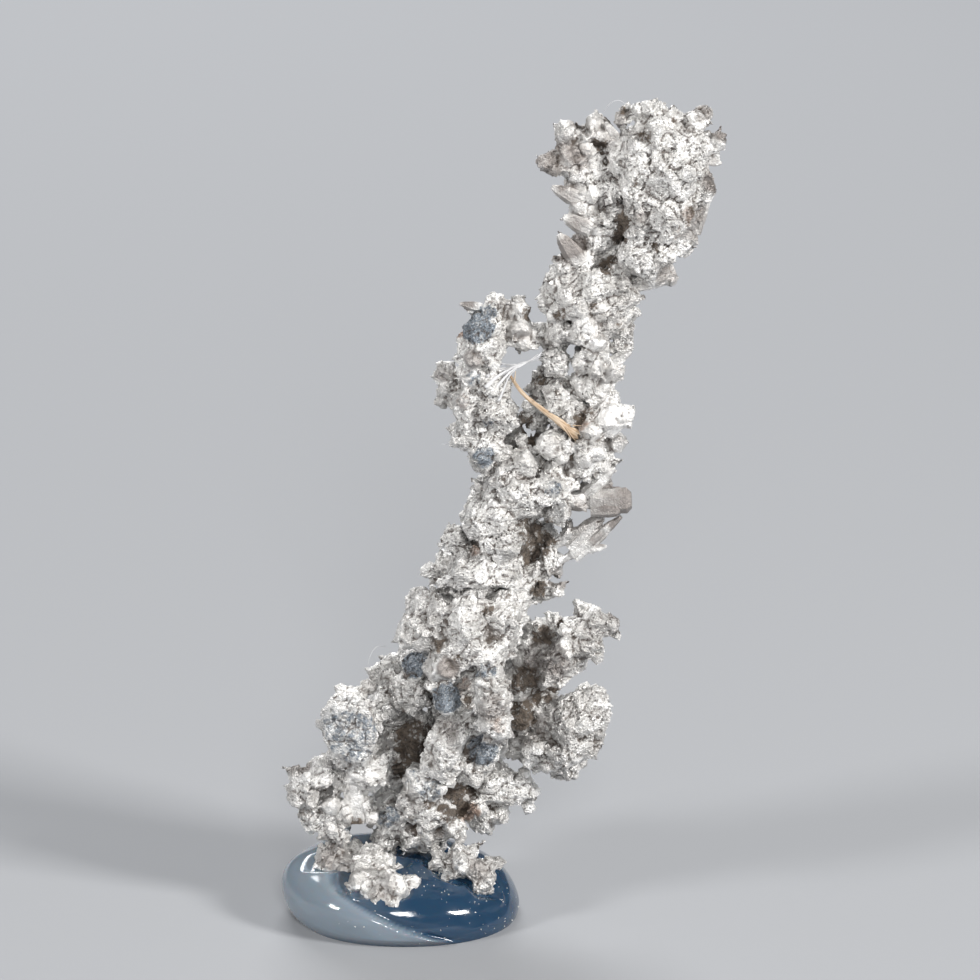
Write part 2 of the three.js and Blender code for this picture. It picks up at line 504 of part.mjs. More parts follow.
// The dome is a round profile turned about Z, then pulled to its oval and swollen along its fold.
function gumSolid() {
  const outline = gum.profile.map(([share, height]) => new THREE.Vector2(share, height));
  const dome = new THREE.LatheGeometry(outline, gum.sides).rotateX(Math.PI / 2);
  const places = dome.attributes.position;
  for (let i = 0; i < places.count; i++) {
    const [x, y, z] = [places.getX(i), places.getY(i), places.getZ(i)];
    const share = Math.hypot(x, y);
    const [side, front] = share ? [x / share, y / share] : [0, 0];
    const oval = share && (Math.abs(side) ** gum.squareness + Math.abs(front) ** gum.squareness)
      ** (-1 / gum.squareness);
    const degrees = THREE.MathUtils.radToDeg(Math.atan2(front, side));
    const along = THREE.MathUtils.inverseLerp(gum.foldTop[0], gum.foldFoot[0], z);
    const edge = THREE.MathUtils.lerp(gum.foldTop[1], gum.foldFoot[1], along);
    const behindEdge = (((edge - degrees) % 360) + 360) % 360;
    const onFold = along > 0 && along < 1 && behindEdge < gum.foldReach;
    const swell = onFold ? 1 + gum.foldSwell * (1 - behindEdge / gum.foldReach) : 1;
    places.setXYZ(
      i,
      gum.centreX + gum.lean * z + side * share * oval * swell * gum.halfWidth,
      gum.centreY + front * share * oval * swell * gum.halfDepth,
      z,
    );
  }
  return solidFrom(dome);
}

// The splinter of wood is a tapered bar bent along its route.
function splinterSolid() {
  const { route, topWidth, endWidth, flatness, sides, steps } = splinter;
  const curve = new THREE.CatmullRomCurve3(route.map((point) => place(...point)));
  const bar = new THREE.CylinderGeometry(topWidth / 2, endWidth / 2, 1, sides, steps);
  const places = bar.attributes.position;
  for (let i = 0; i < places.count; i++) {
    const share = THREE.MathUtils.clamp(0.5 - places.getY(i), 0, 1);
    const along = curve.getTangentAt(share);
    const across = new THREE.Vector3(0, 1, 0).cross(along).normalize();
    const through = along.clone().cross(across);
    const point = curve.getPointAt(share)
      .addScaledVector(across, places.getX(i))
      .addScaledVector(through, places.getZ(i) * flatness);
    places.setXYZ(i, ...point);
  }
  return solidFrom(bar);
}

const silver = new THREE.MeshStandardMaterial({ color: 0xb9b6b1, metalness: 1, roughness: 0.42 });
const gumBlue = new THREE.MeshStandardMaterial({ color: 0x5f7d92, metalness: 0, roughness: 0.18 });
const paleWood = new THREE.MeshStandardMaterial({ color: 0xc8a06e, metalness: 0, roughness: 0.75 });

const specimen = new THREE.Group();
specimen.name = "native_silver";
const used = [];
const finished = [];

// Each piece is cut clear of the ones before it.
function addPiece(name, solid, clearance, material) {
  const cut = solid.subtract(Manifold.union([...clearance, ...finished]));
  const body = largestBody(cut.simplify(sliver));
  finished.push(body);
  specimen.add(meshOf(name, body, material));
}

for (const branch of branches) {
  const shapes = shapesOf(branch);
  const whole = Manifold.union(shapes.map((shape) => solidOf(shape)));
  addPiece(branch.name, lightened(whole, kept), clearanceAround(used, shapes), silver);
  used.push(...shapes);
}
const grown = used.map((shape) => solidOf(shape, seatGap));
addPiece("mounting_gum", gumSolid(), grown, gumBlue);
addPiece("wood_splinter", splinterSolid(), grown, paleWood);

export default specimen;
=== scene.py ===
import math
from itertools import product

import bmesh
import bpy
import numpy as np
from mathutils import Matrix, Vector
from mathutils.bvhtree import BVHTree


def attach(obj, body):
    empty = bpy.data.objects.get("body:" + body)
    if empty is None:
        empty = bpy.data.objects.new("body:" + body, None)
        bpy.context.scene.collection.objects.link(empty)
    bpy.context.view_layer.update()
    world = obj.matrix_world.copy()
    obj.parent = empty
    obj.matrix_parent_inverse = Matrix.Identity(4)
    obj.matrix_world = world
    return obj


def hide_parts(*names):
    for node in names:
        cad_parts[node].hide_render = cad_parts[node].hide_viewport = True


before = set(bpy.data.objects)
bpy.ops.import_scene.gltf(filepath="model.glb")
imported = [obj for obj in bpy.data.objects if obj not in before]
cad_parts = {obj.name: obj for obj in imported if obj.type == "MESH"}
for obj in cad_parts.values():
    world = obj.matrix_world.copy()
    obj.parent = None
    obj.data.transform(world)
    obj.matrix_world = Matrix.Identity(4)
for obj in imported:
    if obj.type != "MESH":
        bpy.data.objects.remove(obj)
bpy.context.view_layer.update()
mm = 0.001  # lengths below are in millimetres, and become metres when a mesh is made


# camera, floor and lights

view = dict(target=(6.51, 0, 31.95), elevation=17, distance=380, lens=197.2, sensor=36, near=0.01, far=20)
stage = dict(side=4000, colour=(0.37, 0.38, 0.4), roughness=0.95, gloss=0.2)
air = dict(colour=(0.80, 0.84, 0.90), strength=0.1)
# each light: name, place, what it faces, side, watts, colour
lights = [
    ("right", (499, -307, 303), (7, 0, 32), 135, 4.3, (1.0, 0.985, 0.96)),
    ("left", (-495, -290, 303), (7, 0, 32), 135, 2.2, (1.0, 0.99, 0.975)),
    ("front", (58, -578, 303), (7, 0, 30), 135, 2.0, (1.0, 0.99, 0.97)),
    ("behind", (-60, 460, 420), (7, 0, 32), 320, 2.6, (1.0, 1.0, 1.0)),
]


def facing(start, target):
    return (Vector(target) - Vector(start)).to_track_quat("-Z", "Y").to_euler()


def linked(name, data):
    made = bpy.data.objects.new(name, data)
    bpy.context.scene.collection.objects.link(made)
    return made


lens = bpy.data.cameras.new("camera")
lens.lens = view["lens"]
lens.sensor_width = view["sensor"]
lens.clip_start = view["near"]
lens.clip_end = view["far"]
camera = linked("camera", lens)
rise = math.radians(view["elevation"])
away = Vector((0, -math.cos(rise), math.sin(rise))) * view["distance"]
camera.location = (Vector(view["target"]) + away) * mm
camera.rotation_euler = facing(camera.location, Vector(view["target"]) * mm)
bpy.context.scene.camera = camera

for name, stand, target, side, watts, colour in lights:
    lamp = bpy.data.lights.new(name, "AREA")
    lamp.size = side * mm
    lamp.energy = watts
    lamp.color = colour
    holder = linked(name, lamp)
    holder.location = Vector(stand) * mm
    holder.rotation_euler = facing(stand, target)

world = bpy.data.worlds.new("air")
bpy.context.scene.world = world
world.use_nodes = True
sky = world.node_tree.nodes["Background"]
sky.inputs["Color"].default_value = (*air["colour"], 1)
sky.inputs["Strength"].default_value = air["strength"]
bpy.context.scene.view_settings.view_transform = "Standard"
print("camera and lights are placed")


# shader wiring

class Wire:
    # a shader socket that can stand in a sum
    def __init__(self, finish, socket):
        self.finish = finish
        self.socket = socket

    def math(self, operation, a, b):
        return self.finish.node("ShaderNodeMath", {"operation": operation}, {0: a, 1: b})

    def __add__(self, other):
        return self.math("ADD", self, other)

    def __sub__(self, other):
        return self.math("SUBTRACT", self, other)

    def __rsub__(self, other):
        return self.math("SUBTRACT", other, self)

    def __mul__(self, other):
        return self.math("MULTIPLY", self, other)

    __radd__ = __add__
    __rmul__ = __mul__

    def within(self, low, high):
        # 0 below low, 1 above high
        return self.finish.node("ShaderNodeMapRange", {}, {0: self, 1: low, 2: high})


class Finish:
    # a material that is being wired
    def __init__(self, name):
        self.material = bpy.data.materials.new(name)
        self.material.use_nodes = True
        self.tree = self.material.node_tree
        self.shader = self.tree.nodes["Principled BSDF"]

    def put(self, socket, value):
        if isinstance(value, Wire):
            self.tree.links.new(value.socket, socket)
        else:
            socket.default_value = value

    def node(self, kind, settings, sockets, output=0):
        made = self.tree.nodes.new(kind)
        for key, value in settings.items():
            setattr(made, key, value)
        for key, value in sockets.items():
            self.put(made.inputs[key], value)
        return Wire(self, made.outputs[output])

    def places(self):
        # where a point is, in millimetres
        coordinates = self.node("ShaderNodeTexCoord", {}, {}, "Object")
        return self.node("ShaderNodeVectorMath", {"operation": "SCALE"}, {0: coordinates, "Scale": 1 / mm})

    def noise(self, size, detail=3, roughness=0.6):
        sockets = {"Vector": self.places(), "Scale": 1 / size, "Detail": detail, "Roughness": roughness}
        return self.node("ShaderNodeTexNoise", {}, sockets)

    def cells(self, size, output="Distance"):
        sockets = {"Vector": self.places(), "Scale": 1 / size}
        return self.node("ShaderNodeTexVoronoi", {}, sockets, output)

    def marked(self, name):
        return self.node("ShaderNodeAttribute", {"attribute_name": name}, {}, "Fac")

    def blend(self, share, colour, other):
        colours = [(*c, 1) if isinstance(c, tuple) else c for c in (colour, other)]
        sockets = {0: share, 6: colours[0], 7: colours[1]}
        return self.node("ShaderNodeMix", {"data_type": "RGBA"}, sockets, 2)

    def bump(self, height, depth, strength=1.0):
        sockets = {"Height": height, "Distance": depth * mm, "Strength": strength}
        return self.node("ShaderNodeBump", {}, sockets)

    def wear(self, **sockets):
        for name, value in sockets.items():
            if isinstance(value, tuple):
                value = (*value, 1)
            self.put(self.shader.inputs[name.replace("_", " ")], value)
        return self.material


# numbers and noise

def hashed(cells, seed):
    # whole-number cells to well-mixed whole numbers
    h = cells[:, 0] * 73856093 ^ cells[:, 1] * 19349663 ^ cells[:, 2] * 83492791 ^ seed * 2654435761
    h &= 0xFFFFFFFF
    for _ in range(2):
        h = ((h >> 16) ^ h) * 0x45D9F3B & 0xFFFFFFFF
    return (h >> 16) ^ h


def spread(h, count):
    # count numbers from 0 to 1 for each hash
    out = []
    for k in range(count):
        h = (h * 1664525 + 1013904223) & 0xFFFFFFFF
        mixed = ((h >> 15) ^ h) * 0x2C1B3C6D & 0xFFFFFFFF
        out.append(((mixed >> 12) ^ mixed) / 4294967296)
    return np.stack(out, 1)


def grown(points, size, seed):
    # per point, in cells: the way from its nearest seed, the seed's hash and distance, how near a border is
    q = points / size
    base = np.floor(q).astype(np.int64)
    first = np.full(len(q), 9.0)
    second = first.copy()
    way = np.zeros_like(q)
    own = np.zeros(len(q), np.int64)
    for move in product((-1, 0, 1), repeat=3):
        cell = base + move
        h = hashed(cell, seed)
        step = q - cell - spread(h, 3)
        distance = np.einsum("ij,ij->i", step, step)
        closer = distance < first
        second = np.where(closer, first, np.minimum(second, distance))
        first = np.where(closer, distance, first)
        way[closer] = step[closer]
        own[closer] = h[closer]
    return way, own, np.sqrt(first), np.sqrt(second) - np.sqrt(first)


def waves(points, size, seed):
    # soft noise from -1 to 1
    q = points / size
    base = np.floor(q).astype(np.int64)
    share = q - base
    share = share * share * (3 - 2 * share)
    total = np.zeros(len(q))
    for corner in product((0, 1), repeat=3):
        weight = np.prod(np.where(corner, share, 1 - share), 1)
        total += weight * spread(hashed(base + corner, seed), 1)[:, 0]
    return total * 2 - 1


def eased(value, low, high):
    share = np.clip((value - low) / (high - low), 0, 1)
    return share * share * (3 - 2 * share)


def turned(random, count, wander=None, lattice=None):
    # turns as matrices: any at all, or each a little off one lattice
    if wander is None:
        q = random.normal(size=(count, 4))
    else:
        q = np.hstack([np.ones((count, 1)), random.normal(size=(count, 3)) * wander / 2])
    q /= np.linalg.norm(q, axis=1, keepdims=True)
    w, x, y, z = q.T
    m = np.stack([
        1 - 2 * (y * y + z * z), 2 * (x * y - z * w), 2 * (x * z + y * w),
        2 * (x * y + z * w), 1 - 2 * (x * x + z * z), 2 * (y * z - x * w),
        2 * (x * z - y * w), 2 * (y * z + x * w), 1 - 2 * (x * x + y * y),
    ], 1).reshape(-1, 3, 3)
    return m if lattice is None else m @ lattice


# meshes as arrays: points in millimetres and triangles

def arraysOf(mesh):
    mesh.calc_loop_triangles()
    points = np.empty(len(mesh.vertices) * 3, np.float32)
    triangles = np.empty(len(mesh.loop_triangles) * 3, np.int32)
    mesh.vertices.foreach_get("co", points)
    mesh.loop_triangles.foreach_get("vertices", triangles)
    return points.reshape(-1, 3).astype(float), triangles.reshape(-1, 3).astype(np.int64)


def joined(parts):
    start = 0
    points, triangles = [], []
    for p, t in parts:
        points.append(p)
        triangles.append(t + start)
        start += len(p)
    return np.vstack(points), np.vstack(triangles)


def meshOf(name, points, triangles):
    mesh = bpy.data.meshes.new(name)
    mesh.vertices.add(len(points))
    mesh.vertices.foreach_set("co", np.ascontiguousarray(points, np.float32).ravel())
    mesh.loops.add(triangles.size)
    mesh.loops.foreach_set("vertex_index", np.ascontiguousarray(triangles, np.int32).ravel())
    mesh.polygons.add(len(triangles))
    mesh.polygons.foreach_set("loop_start", np.arange(0, triangles.size, 3, dtype=np.int32))
    mesh.update(calc_edges=True)
    return mesh


def crossed(points, triangles):
    a, b, c = (points[triangles[:, k]] for k in range(3))
    return np.cross(b - a, c - a)


def normalsOf(points, triangles):
    cross = crossed(points, triangles)
    total = np.zeros_like(points)
    for axis in range(3):
        for k in range(3):
            total[:, axis] += np.bincount(triangles[:, k], cross[:, axis], len(points))
    return total / np.maximum(np.linalg.norm(total, axis=1, keepdims=True), 1e-12)


def scattered(points, triangles, perMm2, random):
    # places strewn evenly over a surface, and the way it faces there
    cross = crossed(points, triangles)
    double = np.linalg.norm(cross, axis=1)
    count = int(double.sum() / 2 * perMm2)
    chosen = random.choice(len(triangles), count, p=double / double.sum())
    a, b = random.random((2, count))
    over = a + b > 1
    a[over], b[over] = 1 - a[over], 1 - b[over]
    p, q, r = (points[triangles[chosen, k]] for k in range(3))
    return p + (q - p) * a[:, None] + (r - p) * b[:, None], cross[chosen] / double[chosen, None]


def hullOf(corners):
    hull = bmesh.new()
    for corner in corners:
        hull.verts.new(corner)
    bmesh.ops.convex_hull(hull, input=hull.verts)
    bmesh.ops.triangulate(hull, faces=hull.faces)
    hull.verts.index_update()
    points = np.array([v.co for v in hull.verts])
    triangles = np.array([[v.index for v in f.verts] for f in hull.faces])
    hull.free()
    return points, triangles


signs = (-1, 1)
octahedron = hullOf([(a, 0, 0) for a in signs] + [(0, a, 0) for a in signs] + [(0, 0, a) for a in signs])
cube = hullOf([(a * 0.62, b * 0.62, c * 0.62) for a in signs for b in signs for c in signs])
cutCube = hullOf([
    p for a in signs for b in signs
    for p in ((a * 0.8, b * 0.8, 0), (a * 0.8, 0, b * 0.8), (0, a * 0.8, b * 0.8))
])


def crystalsAt(form, places, sizes, turns, stretch, random):
    # one form at many places, each with its own size, turn and slightly strayed corners
    corners, triangles = form
    stray = 1 + random.uniform(-0.16, 0.16, (len(places), len(corners), 1))
    shaped = corners[None] * stretch[:, None] * stray
    shaped = np.einsum("nij,nkj->nki", turns, shaped) * sizes[:, None, None] + places[:, None]
    starts = np.arange(len(places))[:, None, None] * len(corners)
    return shaped.reshape(-1, 3), (triangles[None] + starts).reshape(-1, 3)


def reshaped(points, triangles, kind, **settings):
    # the arrays as they leave one of Blender's modifiers
    mesh = meshOf("raw", points, triangles)
    holder = linked("raw", mesh)
    change = holder.modifiers.new("change", kind)
    for key, value in settings.items():
        setattr(change, key, value)
    ready = holder.evaluated_get(bpy.context.evaluated_depsgraph_get())
    out = arraysOf(ready.to_mesh())
    ready.to_mesh_clear()
    bpy.data.objects.remove(holder)
    bpy.data.meshes.remove(mesh)
    return out


def dress(name, parts, material, replaced=(), marks=None, flat=0):
    # the finished piece: arrays to an object that rides on the root body
    points, triangles = parts
    mesh = meshOf(name, points * mm, triangles)
    smooth = np.ones(len(triangles), bool)
    smooth[len(triangles) - flat:] = False
    mesh.polygons.foreach_set("use_smooth", smooth)
    for mark, values in (marks or {}).items():
        layer = mesh.attributes.new(mark, "FLOAT", "POINT")
        layer.data.foreach_set("value", np.ascontiguousarray(values, np.float32))
    mesh.materials.append(material)
    made = linked(name, mesh)
    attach(made, "root")
    if replaced:
        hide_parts(*replaced)
    print(f"{name}: {len(triangles)} triangles")
    return made


def curveThrough(points, count):
    # an even walk along a smooth curve through the points
    p = np.array(points, float)
    p = np.vstack([2 * p[0] - p[1], p, 2 * p[-1] - p[-2]])
    walk = np.linspace(0, len(points) - 1, count)
    i = np.minimum(walk.astype(int), len(points) - 2)
    t = (walk - i)[:, None]
    a, b, c, d = p[i], p[i + 1], p[i + 2], p[i + 3]
    bend, twist = 2 * a - 5 * b + 4 * c - d, 3 * b - a - 3 * c + d
    return 0.5 * (2 * b + (c - a) * t + bend * t * t + twist * t ** 3)


def capped(rings, sides):
    # triangles of a closed skin over rings of points, with the points at its two ends listed last
    i, j = np.meshgrid(np.arange(rings - 1), np.arange(sides), indexing="ij")
    a, b = i * sides + j, i * sides + (j + 1) % sides
    walls = np.stack([a, b, b + sides, a, b + sides, a + sides], -1).reshape(-1, 3)
    j = np.arange(sides)
    first = np.stack([(j + 1) % sides, j, np.full(sides, rings * sides)], 1)
    last = np.stack([j, (j + 1) % sides, np.full(sides, rings * sides + 1)], 1)
    last[:, :2] += (rings - 1) * sides
    return np.vstack([walls, first, last])


def tube(path, radii, sides=6, flatness=1.0, flutes=None):
    # a closed tube along a path, flattened through its own thin way
    along = np.gradient(path, axis=0)
    along /= np.linalg.norm(along, axis=1, keepdims=True)
    across = np.cross((0, 1, 0), along)
    across /= np.linalg.norm(across, axis=1, keepdims=True)
    through = np.cross(along, across)
    angle = np.arange(sides) * 2 * math.pi / sides
    flutes = np.ones(sides) if flutes is None else flutes
    ring = across[:, None] * (np.cos(angle) * flutes)[None, :, None]
    ring = ring + through[:, None] * (np.sin(angle) * flutes * flatness)[None, :, None]
    points = (path[:, None] + ring * np.asarray(radii)[:, None, None]).reshape(-1, 3)
    return np.vstack([points, path[:1], path[-1:]]), capped(len(path), sides)


# where things are

riseAtGround = 0.39
riseLostPerMm = 0.00275
spotDepth = 0.5  # a coloured spot reaches further into the specimen than across it


def place(x, height, y):
    # heights are listed on the upright plane y = 0, along a line that rises towards the front
    return np.array([x, y, height - y * (riseAtGround - riseLostPerMm * height)])


silverNodes = [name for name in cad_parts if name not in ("mounting_gum", "wood_splinter")]
nodeArrays = {}
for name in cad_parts:
    points, triangles = arraysOf(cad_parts[name].data)
    nodeArrays[name] = (points / mm, triangles)


def treeOf(names):
    points, triangles = joined([nodeArrays[name] for name in names])
    return BVHTree.FromPolygons(points.tolist(), triangles.tolist())


silverTree = treeOf(silverNodes)
frontTree = treeOf(nodeArrays)


def onFront(x, height, sink=0.0):
    # the place on the front of the specimen at this x and listed height, a little inside it
    start = Vector(place(x, height, -20.0))
    way = (Vector(place(x, height, 12.0)) - start).normalized()
    hit = frontTree.ray_cast(start, way)[0]
    if hit is None:
        hit = Vector(place(x, height, 0.0))
    return np.array(hit + way * sink)


def nearness(points, spots, inner):
    # for spots as x, height, radius and strength: the strength at a spot's middle, fading to 0 at its radius
    listed = (points[:, 2] + points[:, 1] * riseAtGround) / (1 + points[:, 1] * riseLostPerMm)
    best = np.zeros(len(points))
    for x, height, radius, strength in spots:
        depth = onFront(x, height)[1]
        apart = np.stack([points[:, 0] - x, listed - height, (points[:, 1] - depth) * spotDepth])
        distance = np.linalg.norm(apart, axis=0)
        best = np.maximum(best, (1 - eased(distance / radius, inner, 1.0)) * strength)
    return best


# the silver

silver = dict(
    voxel=0.115, coarseVoxel=0.3,
    shrink=0.08,  # how far a branch is drawn in before anything grows on it
    # small crystals: how many to the square millimetre, least and most size, share sunk and stray turn
    buds=(0.28, 0.4, 0.8, 0.6, 0.5),  # grown into the skin
    bridges=(2.2, 0.4, 0.7, 0.3, 0.5), bridgeReach=0.6,  # where one branch grows out of another
    blocks=(0.45, 0.2, 0.46, 0.45, 0.5),  # crisp ones on top
    crumbs=(3.6, 0.05, 0.14, 0.3, 0.7),
    budsBelow=0.4, blocksBelow=0.35,  # no such crystals where the silver is smoother than this
    stand=0.28, leastSunk=0.4,  # how far a lump stands out of the branch, and the least share inside it
    calmReach=1.1,  # how far a lump makes the silver smooth, in sizes
    bladeSunk=0.3, bladeLean=0.2,  # a blade's root in the branch, and how far forward its tip is
    heart=(0.8, 0.6, 0.75, 0.8),  # length and width of its core in the skin, reach and smoothness about it
    stubFrom=1.5,  # blades this wide end bluntly
    filled=0.65,  # how much of a cleft between crystals the moss fills
    plates=(1.5, 0.17),  # size of the flat faces, and how far they lean out
    cracks=(1.35, 0.16, 0.07),  # distance between cracks, their depth and their width in cells
    creases=(0.6, 0.05, 0.12),
    pits=(0.5, 0.09, 0.14),
    granules=(0.21, 0.065),  # size and height
    smoothness=0.2,  # of the silver between the lumps
    clefts=60, edges=8,  # rounds of smoothing that show the clefts, and the edges of small crystals
    deepest=1.2,  # a cleft deeper than this is filled no further
    creviceDepth=0.09, dipDepth=0.36,  # where the painted shade in creases and clefts is at its fullest
    seeds=dict(growth=100, plates=7, cracks=19, creases=31, pits=43, granules=53),
)
